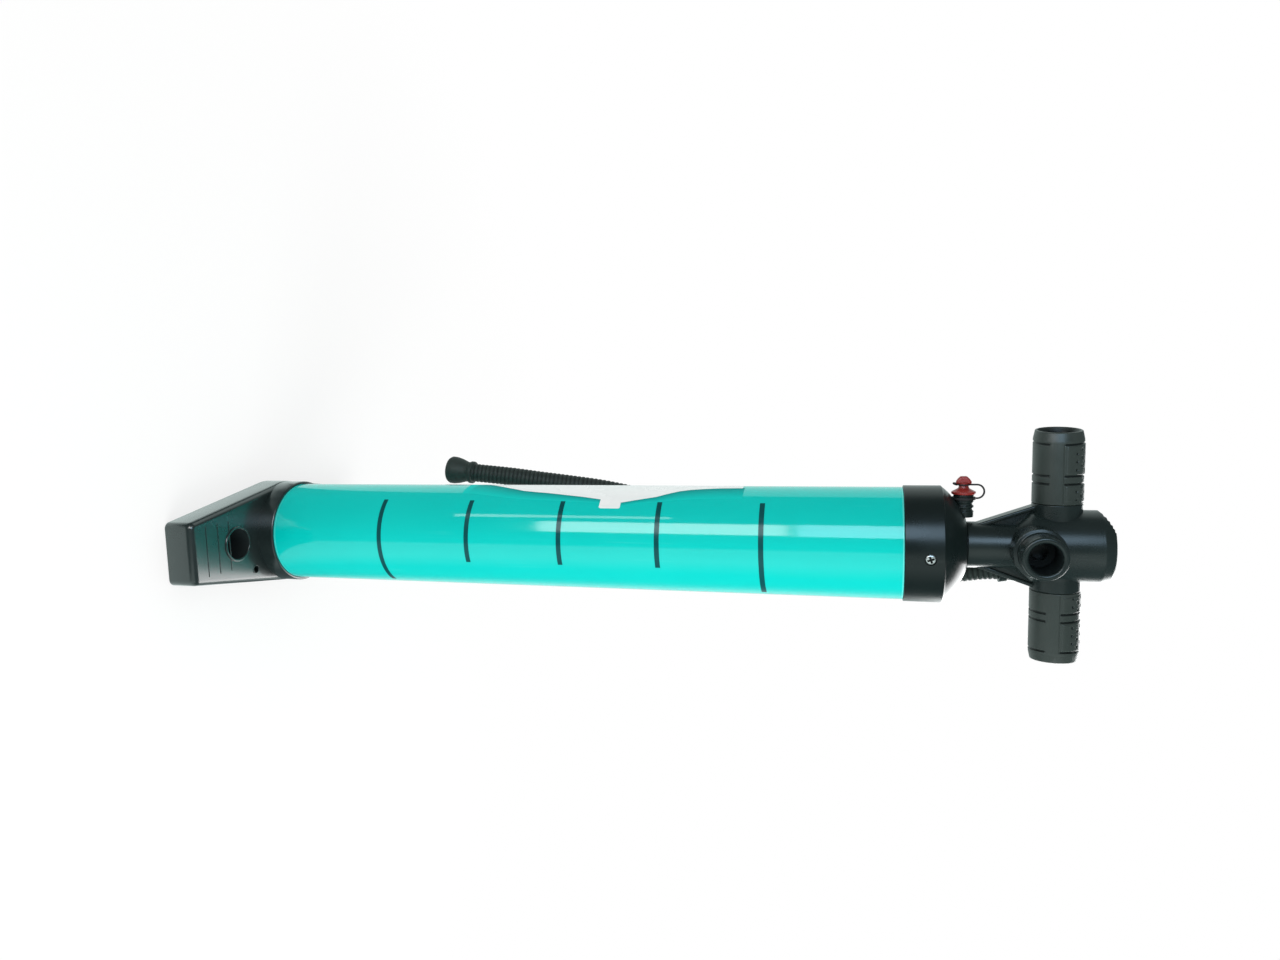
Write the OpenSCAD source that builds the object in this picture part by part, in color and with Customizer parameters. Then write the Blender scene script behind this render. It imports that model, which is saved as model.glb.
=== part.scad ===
// Upright two-way hand pump: foot base, barrel, domed cap, T-handle and corrugated hose.
// The barrel's axis is Z, the foot's wings run along Y and the handle's grips along X.

/* [Barrel] */
// Outside diameter of the barrel
barrel_od = 70; // [60:1:90]
// Wall of the barrel
barrel_wall = 3.5; // [2.5:0.5:5]
// Length of barrel seen between the foot collar and the cap
barrel_show = 431; // [300:1:560]

/* [Foot] */
// Length of the foot over both wings
foot_length = 196; // [170:1:260]
// Width of a wing at its tip
foot_tip_w = 42.5; // [36:0.5:54]
// Height of the wings' top face
foot_h = 21; // [18:1:28]
// Height of the collar's rim above the ground
collar_h = 33; // [30:1:50]
// Wall of the collar around the barrel
collar_wall = 1.8; // [1.5:0.1:4]
// How far the foot's middle stands out past the collar
foot_shoulder = 0.4; // [0.3:0.1:4]
// Wall of the foot's shell
foot_wall = 3; // [2:0.5:4]
// Diameter of the large hole in each wing
peg_hole_d = 21; // [12:0.5:24]
// Gap between the collar and the large hole
peg_hole_gap = 9.6; // [5:0.2:20]
// Diameter of the small hole in each wing
drain_d = 5; // [3:0.5:7]

/* [Cap] */
// How far the cap's skirt stands out past the barrel
cap_step = 1; // [0.5:0.1:4]
// Height of the cap's skirt
cap_h = 23; // [20:1:32]
// Height of the dome from the skirt to its flat top
dome_h = 13.4; // [10:0.2:18]
// Number of screws around the skirt
cap_screw_count = 3; // [2:1:6]

/* [Vent] */
// Diameter of the vent stub
stub_d = 11.8; // [11:0.2:14]
// Distance of the stub's mouth from the barrel's axis
stub_reach = 31; // [29:0.5:40]
// Bore of the vent stub
stub_bore = 6.6; // [5:0.2:8]

/* [Rod and piston] */
// Outside diameter of the rod
rod_d = 20; // [16:1:24]
// Wall of the rod
rod_wall = 2; // [1.5:0.5:3]
// Outside diameter of the delivery tube inside the rod
tube_d = 9; // [6:0.5:10]
// Length of the piston
piston_h = 38; // [34:1:50]

/* [Handle] */
// Width over both grips
handle_w = 140; // [120:1:200]
// Outside diameter of a grip
grip_d = 28; // [26:1:32]
// Bore of a grip's open end
grip_bore = 20.6; // [16:0.2:21]
// Diameter of the neck
neck_d = 28; // [26:1:32]
// Gap between the dome and the neck when the handle is down
neck_gap = 1.8; // [1:0.1:4]
// Height of the grips' axis above the neck's lower end
grip_rise = 49.5; // [46:0.5:60]
// Diameter of the hub
hub_d = 43.5; // [40:0.5:50]
// Height of the hub's end above the grips' axis
hub_rise = 28.5; // [26:0.5:36]
// Bore of the open port
port_bore = 18; // [14:0.5:20]
// Outside diameter of the open port
port_od = 25; // [22:0.5:30]
// Distance of the open port's face from the rod's axis
port_reach = 42; // [36:1:55]

/* [Hose] */
// Outside diameter of the hose
hose_d = 14; // [11:0.5:16]
// How far the elbow's wall stands out past the hose
elbow_step = 1; // [0.5:0.1:3]
// Diameter of the hose cuff's mouth
cuff_d = 21; // [19:0.5:26]
// Length of the hose cuff
cuff_len = 21; // [18:0.5:40]
// Bore of the hose cuff's mouth
cuff_bore = 16; // [12:0.5:17]

/* [Hidden] */
$fn = 96;
eps = 0.01;
through = 1;
fit_gap = 0.1;
run_gap = 0.05;
soft_gap = 0.3;
hull_fn = 32;

barrel_r = barrel_od / 2;
bore_r = barrel_r - barrel_wall;

// Foot
collar_r = barrel_r + fit_gap + collar_wall;
foot_mid_r = collar_r + foot_shoulder;
foot_floor = 6;
foot_plate = 3;
foot_bevel = 3.2;
tip_bevel = 5;
tip_r = 4.5;
tip_ease = 1;
collar_chamfer = 1.2;
peg_hole_y = collar_r + peg_hole_gap + peg_hole_d / 2;
peg_boss_wall = 2;
peg_rim_w = 1.6;
peg_rim_h = 0.8;
drain_at = collar_r + 9.4;
drain_az = 27.5;
tread_w = 1.2;
tread_h = 0.5;
tread_pitch = 10.4;
tread_count = 3;
tread_half = 17;
tread_first = foot_length / 2 - 12.6;
rib_t = 2;
rib_ys = [0.42, 0.86];
gasket_t = 2;

// Barrel and cap levels
barrel_z = foot_floor + gasket_t;
cap_z = collar_h + barrel_show;
skirt_z = cap_z + cap_h;
cap_r = barrel_r + cap_step;
cap_edge = 0.8;
spigot_cut = 1.5;
spigot_r = barrel_r - spigot_cut;
cap_plate = 3;
cap_relief = 4.5;
plate_z = skirt_z - cap_plate;
barrel_top = plate_z - fit_gap;
ring_wall = 4;
ring_r = bore_r - fit_gap;
ring_z = cap_z + 2;
gasket_ring_r = 1.2;
gasket_groove_d = 2 * gasket_ring_r;
gasket_z = ring_z + 3;
dome_r0 = cap_r - cap_edge;
dome_flat_r = rod_d / 2 + 7;
dome_c = (dome_r0 * dome_r0 - dome_flat_r * dome_flat_r - dome_h * dome_h) / (2 * dome_h);
dome_r = sqrt(dome_c * dome_c + dome_r0 * dome_r0);
dome_top = skirt_z + dome_h;

// Cap screws
screw_az = 5;
screw_z = plate_z - 5.6;
screw_head_r = 3.2;
screw_head_h = 1.8;
screw_proud = 0.5;
screw_shank_r = 1.5;
screw_pocket_gap = 0.3;
screw_seat_r = cap_r - screw_head_h + screw_proud;
screw_len = cap_r - bore_r + ring_wall - 2;
slot_w = 0.9;
slot_l = 3.8;
slot_deep = 0.9;
screw_dome_h = 0.6;
screw_dome_in = 0.9;

// Rod guide
rod_r = rod_d / 2;
bush_r = rod_r + 3;
bush_flange_r = bush_r + 3;
bush_flange_h = 2.2;
seal_h = 2.4;
relief_in = bush_flange_r + 2;

// Vent stub, plug and tether
stub_r = stub_d / 2;
stub_z = dome_top - 1;
stub_root = neck_d / 2 + 3;
stub_end_wall = 2;
vent_x = stub_root + 5.5;
vent_r = 2.4;
groove_w = 1.6;
groove_d = 0.8;
groove_xs = [5.2, 8.4];
plug_gap = 0.1;
plug_stem_r = stub_bore / 2 - run_gap;
plug_stem_l = 7;
plug_flange_r = stub_r + 1.2;
plug_flange_h = 1.4;
plug_cone_h = 2.4;
plug_neck_r = 2.7;
plug_neck_h = 2.6;
plug_head_w = 9;
plug_head_core = 0.4 * plug_head_w;
plug_head_t = 4.4;
plug_head_h = 4.6;
plug_wing_h = 1.6;
tether_t = 1.2;
tether_w = 1.5;
tether_ring_x = stub_reach - 3.2;
tether_loop_x = stub_reach + plug_gap + plug_flange_h + plug_cone_h + soft_gap;

// Piston
bumper_h = 3.7;
bumper_r = 20;
bumper_bore = 12;
piston_z = foot_floor + bumper_h + soft_gap;
piston_r = bore_r - 0.6;
piston_foot = 8;
cover_h = 10;
cover_z = piston_z + piston_h - cover_h;
collar_gap = 0.25;
rod_collar_h = 7;
rod_collar_r = rod_r + 4;
pocket_h = rod_collar_h + 2 * collar_gap;
rod_z = piston_z + piston_foot + 1.2;
cup_h = 5;
cup_d = 5;
cup_lift = 3;
cup_ease = 0.4;
cup_lip = 0.35;
lower_cup_z = piston_z + cup_lift;
upper_cup_z = cover_z + cover_h - cup_h - cup_lift + 1;
piston_screw_n = 3;
piston_screw_shank = 1.7;
piston_screw_head = 3.4;
piston_screw_head_h = 2.4;
piston_screw_r = piston_r - cup_d - piston_screw_head - 0.5;
piston_screw_l = 18;
piston_screw_tip = 2;
screw_hole_r = piston_screw_shank + fit_gap;
screw_seat_z = cover_z + cover_h - piston_screw_head_h;
air_hole_r = 1.6;
air_hole_n = 6;
flap_t = 0.8;
flap_in = rod_r + 2;
flap_out = rod_r + 8;
air_hole_at = (flap_in + flap_out) / 2;
flap_ease = 0.4;

// Handle levels
neck_r = neck_d / 2;
neck_z = dome_top + neck_gap;
grip_z = neck_z + grip_rise;
grip_r = grip_d / 2;
port_z = grip_z - 13;
hub_r = hub_d / 2;
hub_end = grip_z + hub_rise;
hub_cap_h = 8;
hub_top = hub_end - hub_cap_h;
hub_low = port_z - 2;
hub_cone = 9;
rod_top = neck_z + 24;
suction_r = 13;
partition_z = port_z + 5.5;
partition_h = 3;
tube_wall = 1;
tube_stand = 2;
chamber_r = hub_r - 4.5;
core_wall = 1.8;
core_r = grip_bore / 2 + core_wall;
core_full = 26;
grip_floor = 23;
sleeve_in = 27;
sleeve_lip = 3;
sleeve_groove = 0.6;
sleeve_groove_half = 0.7;
sleeve_marks = [0.27, 0.38, 0.84];
sleeve_ease = 0.4;
sleeve_round = 1.6;
hand_end = handle_w / 2;
web_t = 7;
rim_t = 10;
rim_w = 2.6;
rim_proud = 0.6;
web_foot = 4;
web_sink = 1;
web_root = 2;
web_top_z = grip_rise - grip_r + 2;
web_top_x = 25;
port_step_r = port_od / 2 + 2.2;
port_step_y = 27;
port_depth = 22;
port_throat_r = 5;
port_chamfer = 0.9;
hub_side = 1.8;
hub_slant = 1.5;
hub_edge = 1;
thumb_r = 28;
thumb_drop = 27;
thumb_x = 18.75 - hub_r;
cap_spigot_h = 5;
cap_spigot_wall = 3;

// Hose: points are offsets from the elbow's mouth
elbow_r = hose_d / 2 + elbow_step;
elbow_wall = 2;
knuckle = 0.6;
drop_x = 26;
drop_y = 52;
drop_r = norm([drop_x, drop_y]);
drop_az = atan2(drop_x, drop_y);
boss_r = elbow_r + 3.5;
outlet_z = hub_top - boss_r - 0.6;
mouth_z = outlet_z - 33;
boss_end = 40;
flange_t = 3;
seal_at = 32;
seal_r = 0.8;
elbow_in = 26;
hose_points = [
    [0, 0, 0], [0.5, 0, -10], [2.5, 0, -24], [5, 0.5, -42], [6, 1, -62], [4.5, 2, -82],
    [1, 3, -104], [-4.5, 4, -127], [-11.5, 5, -151], [-21, 6, -176], [-31, 6.5, -201],
    [-39.5, 7, -226], [-46, 7.5, -251], [-51, 8, -276], [-54.5, 8, -302], [-57.5, 8, -327],
    [-60.5, 8, -351], [-63.4, 8, -381.3]
];
hose_mouth = [drop_x, drop_y, mouth_z];
hose_sides = 10;
hose_tip = hose_mouth + hose_points[len(hose_points) - 1];
cuff_tilt = 7;
cuff_collar_h = 3.5;
cuff_neck_r = hose_d / 2 + 0.8;
cuff_mouth_depth = 10;
cuff_throat_r = 5;
cuff_bead = 0.8;
cuff_lip = 1.6;
cuff_bulge = 5;

// Shared shapes

module tube(r_out, r_in, h) {
    difference() {
        cylinder(r = r_out, h = h);
        translate([0, 0, -through]) cylinder(r = r_in, h = h + 2 * through);
    }
}

module o_ring(r_mid, r_wire) {
    rotate_extrude() translate([r_mid, 0]) circle(r = r_wire, $fn = 32);
}

// Lays a shape that stands on Z along the direction that points outwards at an angle from -Y
module outward(az) {
    rotate([0, 0, az]) rotate([90, 0, 0]) children();
}

// The foot's outline as a block, with its skin moved in by inset and its top edge bevelled
module foot_block(inset, h) {
    tip_x = foot_tip_w / 2 - tip_r;
    tip_y = foot_length / 2 - tip_r;
    hull() {
        for (sx = [-1, 1], sy = [-1, 1]) {
            translate([sx * tip_x, sy * tip_y, 0])
                cylinder(r = tip_r - inset, h = h - tip_bevel, $fn = hull_fn);
            translate([sx * tip_x, sy * (tip_y - foot_bevel), 0])
                cylinder(r = tip_r - inset - tip_ease, h = h, $fn = hull_fn);
        }
        cylinder(r = foot_mid_r - inset, h = h - foot_bevel, $fn = 2 * hull_fn);
        cylinder(r = foot_mid_r - inset - foot_bevel / 2, h = h, $fn = 2 * hull_fn);
    }
}

// Half of the foot's inside width at a distance along the wing
function foot_half(y) =
    foot_tip_w / 2 + (foot_mid_r - foot_tip_w / 2) * (1 - y / (foot_length / 2)) - foot_wall / 2;

// Foot and barrel

module foot_base() {
    color([0.05, 0.05, 0.055])
    difference() {
        union() {
            difference() {
                foot_block(0, foot_h);
                translate([0, 0, -through]) foot_block(foot_wall, foot_h - foot_plate + through);
            }
            cylinder(r = collar_r, h = collar_h - collar_chamfer);
            translate([0, 0, collar_h - collar_chamfer])
                cylinder(r1 = collar_r, r2 = collar_r - collar_chamfer, h = collar_chamfer);
            for (turn = [0, 180]) rotate([0, 0, turn]) foot_wing_details();
        }
        translate([0, 0, foot_floor]) cylinder(r = barrel_r + fit_gap, h = collar_h);
        for (turn = [0, 180]) rotate([0, 0, turn]) {
            translate([0, -peg_hole_y, -through])
                cylinder(d = peg_hole_d, h = foot_h + peg_rim_h + 2 * through);
            rotate([0, 0, drain_az]) translate([0, -drain_at, foot_h - foot_plate - through])
                cylinder(d = drain_d, h = foot_plate + 2 * through);
        }
    }
}

module foot_wing_details() {
    translate([0, -peg_hole_y, 0]) {
        cylinder(r = peg_hole_d / 2 + peg_boss_wall, h = foot_h - foot_plate / 2);
        translate([0, 0, foot_h - eps]) cylinder(r = peg_hole_d / 2 + peg_rim_w, h = peg_rim_h + eps);
    }
    for (share = rib_ys) {
        y = share * foot_length / 2;
        translate([-foot_half(y), -y - rib_t / 2, 0])
            cube([2 * foot_half(y), rib_t, foot_h - foot_plate / 2]);
    }
    for (i = [0 : tread_count - 1]) {
        y = tread_first - i * tread_pitch;
        translate([-tread_half, -y - tread_w / 2, foot_h - eps])
            cube([2 * tread_half, tread_w, tread_h + eps]);
    }
}

module base_gasket() {
    color([0.1, 0.1, 0.1]) translate([0, 0, foot_floor]) tube(barrel_r, bore_r, gasket_t);
}

module end_bumper() {
    color([0.12, 0.12, 0.12]) translate([0, 0, foot_floor]) tube(bumper_r, bumper_bore, bumper_h);
}

module barrel() {
    color([0, 0.72, 0.68])
    difference() {
        union() {
            translate([0, 0, barrel_z]) cylinder(r = barrel_r, h = cap_z - barrel_z);
            translate([0, 0, cap_z - eps]) cylinder(r = spigot_r, h = barrel_top - cap_z + eps);
        }
        translate([0, 0, barrel_z - through])
            cylinder(r = bore_r, h = barrel_top - barrel_z + 2 * through);
        cap_screw_holes(spigot_r + through);
    }
}

// Cap

module cap_screw_holes(reach) {
    for (i = [0 : cap_screw_count - 1])
        translate([0, 0, screw_z]) outward(screw_az + i * 360 / cap_screw_count)
            cylinder(r = screw_shank_r + fit_gap, h = reach, $fn = 32);
}

module top_cap() {
    color([0.05, 0.05, 0.055])
    difference() {
        union() {
            difference() {
                union() {
                    translate([0, 0, cap_z]) cylinder(r = cap_r, h = cap_h - cap_edge);
                    translate([0, 0, skirt_z - cap_edge]) cylinder(r1 = cap_r, r2 = dome_r0, h = cap_edge);
                    intersection() {
                        translate([0, 0, skirt_z - dome_c]) sphere(r = dome_r, $fn = 128);
                        translate([0, 0, plate_z]) cylinder(r = dome_r0, h = cap_plate + dome_h);
                    }
                }
                translate([0, 0, cap_z - through])
                    cylinder(r = spigot_r + fit_gap, h = plate_z - cap_z + through);
            }
            translate([0, 0, ring_z]) tube(ring_r, ring_r - ring_wall, plate_z - ring_z + eps);
        }
        translate([0, 0, gasket_z - gasket_ring_r - fit_gap])
            tube(ring_r + through, ring_r - gasket_groove_d, 2 * gasket_ring_r + 2 * fit_gap);
        translate([0, 0, plate_z - through])
            cylinder(r = bush_r + fit_gap, h = dome_h + cap_plate + 2 * through);
        translate([0, 0, plate_z - through])
            tube(ring_r - ring_wall, relief_in, cap_relief + through);
        translate([-stub_root, 0, stub_z]) rotate([0, -90, 0])
            cylinder(r = stub_r + fit_gap, h = stub_reach);
        translate([-tether_ring_x + soft_gap, 0, stub_z]) rotate([0, -90, 0])
            cylinder(r = plug_flange_r + 2 * soft_gap, h = stub_reach);
        translate([-vent_x, 0, plate_z - through]) cylinder(r = vent_r, h = stub_z - plate_z + through);
        cap_screw_holes(cap_r + through);
        for (i = [0 : cap_screw_count - 1])
            translate([0, 0, screw_z]) outward(screw_az + i * 360 / cap_screw_count)
                translate([0, 0, screw_seat_r])
                    cylinder(r = screw_head_r + screw_pocket_gap, h = screw_head_h + through, $fn = 48);
    }
}

module cap_gasket() {
    color([0.1, 0.1, 0.1]) translate([0, 0, gasket_z])
        o_ring(ring_r + fit_gap / 2 - gasket_ring_r, gasket_ring_r);
}

module cap_screws() {
    color([0.8, 0.8, 0.8])
    for (i = [0 : cap_screw_count - 1])
        translate([0, 0, screw_z]) outward(screw_az + i * 360 / cap_screw_count) cap_screw();
}

module cap_screw() {
    translate([0, 0, screw_seat_r])
    difference() {
        union() {
            cylinder(r = screw_head_r, h = screw_head_h - screw_dome_h, $fn = 48);
            translate([0, 0, screw_head_h - screw_dome_h])
                cylinder(r1 = screw_head_r, r2 = screw_head_r - screw_dome_in, h = screw_dome_h, $fn = 48);
            translate([0, 0, -screw_len]) cylinder(r = screw_shank_r, h = screw_len + eps, $fn = 32);
        }
        for (turn = [0, 90]) rotate([0, 0, turn])
            translate([-slot_l / 2, -slot_w / 2, screw_head_h - slot_deep])
                cube([slot_l, slot_w, slot_deep + through]);
    }
}

module rod_bush() {
    color([0.85, 0.85, 0.8])
    difference() {
        union() {
            translate([0, 0, plate_z - bush_flange_h]) cylinder(r = bush_flange_r, h = bush_flange_h);
            translate([0, 0, plate_z - eps]) cylinder(r = bush_r, h = dome_top - seal_h - plate_z + eps);
        }
        translate([0, 0, plate_z - bush_flange_h - through])
            cylinder(r = rod_r + run_gap, h = dome_top - plate_z + bush_flange_h + through);
    }
}

module rod_seal() {
    color([0.1, 0.1, 0.1]) translate([0, 0, dome_top - seal_h]) tube(bush_r, rod_r + run_gap, seal_h);
}

// Vent

module vent_stub() {
    color([0.06, 0.06, 0.06])
    translate([0, 0, stub_z]) rotate([0, -90, 0])
    difference() {
        translate([0, 0, stub_root]) cylinder(r = stub_r, h = stub_reach - stub_root);
        translate([0, 0, stub_root + stub_end_wall]) cylinder(d = stub_bore, h = stub_reach);
        for (x = groove_xs) translate([0, 0, stub_reach - x - groove_w])
            tube(stub_r + through, stub_r - groove_d, groove_w);
        translate([0, 0, vent_x]) rotate([0, -90, 0]) cylinder(r = vent_r, h = stub_r + through);
    }
}

// A ring around the stub, a ring around the plug's waist and a bowed strap between them
module plug_tether() {
    loop_in = plug_neck_r + soft_gap;
    strap_r = (tether_loop_x - tether_ring_x) / 2;
    strap_z = stub_z + stub_r + tether_t;
    color([0.05, 0.05, 0.05]) {
        translate([-tether_ring_x, 0, stub_z]) rotate([0, -90, 0])
            tube(stub_r + fit_gap + tether_t, stub_r + fit_gap, tether_w);
        translate([-tether_loop_x, 0, stub_z]) rotate([0, -90, 0])
            tube(loop_in + tether_t, loop_in, tether_w);
        translate([-tether_loop_x - tether_w, -tether_w / 2, stub_z + loop_in + eps])
            cube([tether_w, tether_w, strap_z - stub_z - loop_in]);
        translate([-tether_ring_x - strap_r - tether_w / 2, tether_w / 2, strap_z]) rotate([90, 0, 0])
            rotate_extrude(angle = 180) translate([strap_r - tether_w / 2, 0]) square([tether_w, tether_w]);
    }
}

module vent_plug() {
    flange_x = stub_reach + plug_gap;
    cone_x = flange_x + plug_flange_h;
    waist_x = cone_x + plug_cone_h;
    head_x = waist_x + plug_neck_h;
    color([0.8, 0.05, 0.05])
    translate([0, 0, stub_z]) rotate([0, -90, 0]) {
        rotate_extrude()
            polygon([
                [0, flange_x - plug_stem_l], [plug_stem_r, flange_x - plug_stem_l], [plug_stem_r, flange_x],
                [plug_flange_r, flange_x], [plug_flange_r, cone_x], [plug_neck_r, waist_x],
                [plug_neck_r, head_x + eps], [0, head_x + eps]
            ]);
        hull() {
            translate([-plug_head_w / 2, -plug_head_t / 2, head_x])
                cube([plug_head_w, plug_head_t, plug_wing_h]);
            translate([-plug_head_core / 2, -plug_head_t / 2, head_x])
                cube([plug_head_core, plug_head_t, plug_head_h]);
        }
    }
}

// Piston

module piston_screw_holes(r, z, h) {
    for (i = [0 : piston_screw_n - 1]) rotate([0, 0, i * 360 / piston_screw_n])
        translate([piston_screw_r, 0, z]) cylinder(r = r, h = h, $fn = 32);
}

module cup_groove(z) {
    translate([0, 0, z]) tube(piston_r + through, piston_r - cup_d, cup_h + 2 * fit_gap);
}

module piston_head() {
    color([0.75, 0.75, 0.72])
    difference() {
        translate([0, 0, piston_z]) cylinder(r = piston_r, h = cover_z - piston_z);
        cup_groove(lower_cup_z);
        translate([0, 0, piston_z + piston_foot]) cylinder(r = rod_r + run_gap, h = piston_h);
        translate([0, 0, cover_z - pocket_h]) cylinder(r = rod_collar_r + soft_gap, h = pocket_h + through);
        for (i = [0 : air_hole_n - 1]) rotate([0, 0, i * 360 / air_hole_n])
            translate([tube_d / 2, 0, piston_z - through])
                cylinder(r = air_hole_r, h = piston_foot + 2 * through, $fn = 32);
        piston_screw_holes(screw_hole_r, cover_z - piston_screw_l, piston_screw_l + through);
    }
}

module piston_cover() {
    color([0.75, 0.75, 0.72])
    difference() {
        translate([0, 0, cover_z]) cylinder(r = piston_r, h = cover_h);
        cup_groove(upper_cup_z);
        translate([0, 0, cover_z - through]) cylinder(r = rod_r + run_gap, h = cover_h + 2 * through);
        piston_screw_holes(screw_hole_r, cover_z - through, cover_h + 2 * through);
        piston_screw_holes(piston_screw_head + fit_gap, screw_seat_z, cover_h);
        for (i = [0 : air_hole_n - 1]) rotate([0, 0, (i + 0.5) * 360 / air_hole_n])
            translate([air_hole_at, 0, cover_z - through])
                cylinder(r = air_hole_r, h = cover_h + 2 * through, $fn = 32);
    }
}

module piston_screws() {
    tip_z = cover_z - piston_screw_l + piston_screw_tip;
    color([0.7, 0.7, 0.7]) {
        piston_screw_holes(piston_screw_head, screw_seat_z, piston_screw_head_h);
        piston_screw_holes(piston_screw_shank, tip_z, screw_seat_z - tip_z + eps);
    }
}

// Rubber cup that fills its groove, with a lip that runs on the barrel's bore
module cup_ring() {
    root_r = piston_r - cup_d + fit_gap;
    lip_r = bore_r - run_gap;
    rotate_extrude()
        polygon([
            [root_r, 0], [piston_r - cup_ease, 0], [lip_r, cup_h * cup_lip], [lip_r, cup_h * (1 - cup_lip)],
            [piston_r - cup_ease, cup_h], [root_r, cup_h]
        ]);
}

module lower_cup() {
    color([0.1, 0.1, 0.1]) translate([0, 0, lower_cup_z + fit_gap]) cup_ring();
}

module upper_cup() {
    color([0.1, 0.1, 0.1]) translate([0, 0, upper_cup_z + fit_gap]) cup_ring();
}

module suction_flap() {
    color([0.15, 0.15, 0.15]) translate([0, 0, cover_z + cover_h])
        tube(flap_out, flap_in, flap_t);
}

module delivery_flap() {
    color([0.15, 0.15, 0.15]) translate([0, 0, piston_z + piston_foot])
        cylinder(r = rod_r - rod_wall - flap_ease, h = flap_t);
}

// Rod

module rod_collar() {
    color([0.6, 0.6, 0.6]) translate([0, 0, cover_z - pocket_h + collar_gap])
        tube(rod_collar_r, rod_r, rod_collar_h);
}

module rod() {
    color([0.8, 0.8, 0.82]) translate([0, 0, rod_z]) tube(rod_r, rod_r - rod_wall, rod_top - rod_z);
}

module delivery_tube() {
    color([0.85, 0.85, 0.85]) translate([0, 0, rod_z])
        tube(tube_d / 2, tube_d / 2 - tube_wall, partition_z + partition_h + tube_stand - rod_z);
}

// Handle

module handle_body() {
    color([0.06, 0.06, 0.065])
    difference() {
        union() {
            rotate_extrude()
                polygon([
                    [0, neck_z], [neck_r, neck_z], [neck_r, hub_low - hub_cone], [hub_r, hub_low],
                    [hub_r, hub_top], [0, hub_top]
                ]);
            translate([0, 0, grip_z]) rotate([0, 90, 0]) grip_core();
            for (side = [-1, 1]) handle_web(side);
            translate([0, 0, port_z]) rotate([90, 0, 0]) rotate_extrude()
                polygon([
                    [0, 0], [port_step_r, 0], [port_step_r, port_step_y], [port_od / 2, port_step_y],
                    [port_od / 2, port_reach - port_chamfer], [port_od / 2 - port_chamfer, port_reach],
                    [0, port_reach]
                ]);
            translate([0, 0, outlet_z]) outward(180 - drop_az) cylinder(r = boss_r, h = boss_end);
        }
        rotate_extrude()
            polygon([
                [0, neck_z - through], [rod_r + fit_gap, neck_z - through], [rod_r + fit_gap, rod_top],
                [rod_r - rod_wall, rod_top], [rod_r - rod_wall, hub_low], [suction_r, hub_low],
                [suction_r, partition_z], [chamber_r, partition_z], [chamber_r, hub_top + through],
                [0, hub_top + through]
            ]);
        translate([0, 0, port_z]) rotate([90, 0, 0]) {
            cylinder(r = port_throat_r, h = port_reach);
            translate([0, 0, port_reach - port_depth]) cylinder(d = port_bore, h = port_depth + through);
        }
        for (side = [-1, 1]) translate([side * grip_floor, 0, grip_z]) rotate([0, 90 * side, 0])
            cylinder(d = grip_bore, h = hand_end);
        translate([0, 0, outlet_z]) outward(180 - drop_az) {
            cylinder(r = elbow_r - elbow_wall, h = boss_end);
            translate([0, 0, elbow_in - fit_gap]) cylinder(r = elbow_r + fit_gap, h = boss_end);
        }
    }
}

// Cross tube that both grip sleeves slide on, with a full-size part at the hub
module grip_core() {
    end = hand_end - sleeve_lip;
    rotate_extrude()
        polygon([
            [0, -end], [core_r, -end], [core_r, -core_full], [grip_r, -core_full],
            [grip_r, core_full], [core_r, core_full], [core_r, end], [0, end]
        ]);
}

// Gusset between the neck and a grip, with a raised rim along its slanted edge
module handle_web(side) {
    foot = [neck_r - web_sink, web_foot];
    top = [web_top_x, web_top_z];
    run = top - foot;
    lean = atan2(run[0], run[1]);
    translate([0, web_t / 2, neck_z]) rotate([90, 0, 0]) linear_extrude(web_t)
        polygon([for (p = [[web_root, web_foot], foot, top, [web_root, top[1]]]) [side * p[0], p[1]]]);
    translate([side * foot[0], 0, neck_z + foot[1]]) rotate([0, side * lean, 0])
        translate([side > 0 ? rim_proud - rim_w : -rim_proud, -rim_t / 2, 0])
            cube([rim_w, rim_t, norm(run)]);
}

module hub_partition() {
    color([0.7, 0.7, 0.68]) translate([0, 0, partition_z])
        tube(chamber_r - fit_gap, tube_d / 2 + fit_gap, partition_h);
}

// Space above the curved thumb rest on one side of the hub's end
module thumb_cut() {
    translate([thumb_x, 0, hub_end - thumb_drop]) rotate([90, 0, 0])
        difference() {
            translate([-2 * hub_r, 0, -hub_r - through])
                cube([2 * hub_r, thumb_r + through, 2 * (hub_r + through)]);
            translate([0, 0, -hub_r - 2 * through]) cylinder(r = thumb_r, h = 2 * hub_r + 4 * through);
        }
}

module hub_cap() {
    rim_r = hub_r - hub_slant;
    color([0.06, 0.06, 0.065]) {
        difference() {
            translate([0, 0, hub_top]) rotate_extrude()
                polygon([
                    [0, 0], [hub_r, 0], [hub_r, hub_side], [rim_r, hub_cap_h - hub_edge],
                    [rim_r - hub_edge, hub_cap_h], [0, hub_cap_h]
                ]);
            thumb_cut();
        }
        translate([0, 0, hub_top - cap_spigot_h])
            tube(chamber_r - fit_gap, chamber_r - cap_spigot_wall, cap_spigot_h + eps);
    }
}

// Textured sleeve on a grip, drawn along Z from the hub outwards
module grip_sleeve() {
    r = grip_r;
    g = r - sleeve_groove;
    seat_r = core_r + fit_gap;
    mouth_r = grip_bore / 2;
    span = hand_end - sleeve_in;
    lip_z = span - sleeve_lip + fit_gap;
    w = sleeve_groove_half;
    grooves = [for (m = span * sleeve_marks) each [[r, m - w], [g, m - w / 2], [g, m + w / 2], [r, m + w]]];
    rotate_extrude()
        polygon(concat(
            [[seat_r, 0], [r - sleeve_ease, 0], [r, 2 * sleeve_ease]],
            grooves,
            [[r, span - sleeve_round], [r - sleeve_ease, span - sleeve_ease], [r - sleeve_round, span]],
            [[mouth_r, span], [mouth_r, lip_z], [seat_r, lip_z]]
        ));
}

module grip_left() {
    color([0.08, 0.08, 0.085]) translate([-sleeve_in, 0, grip_z]) rotate([0, -90, 0]) grip_sleeve();
}

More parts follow.
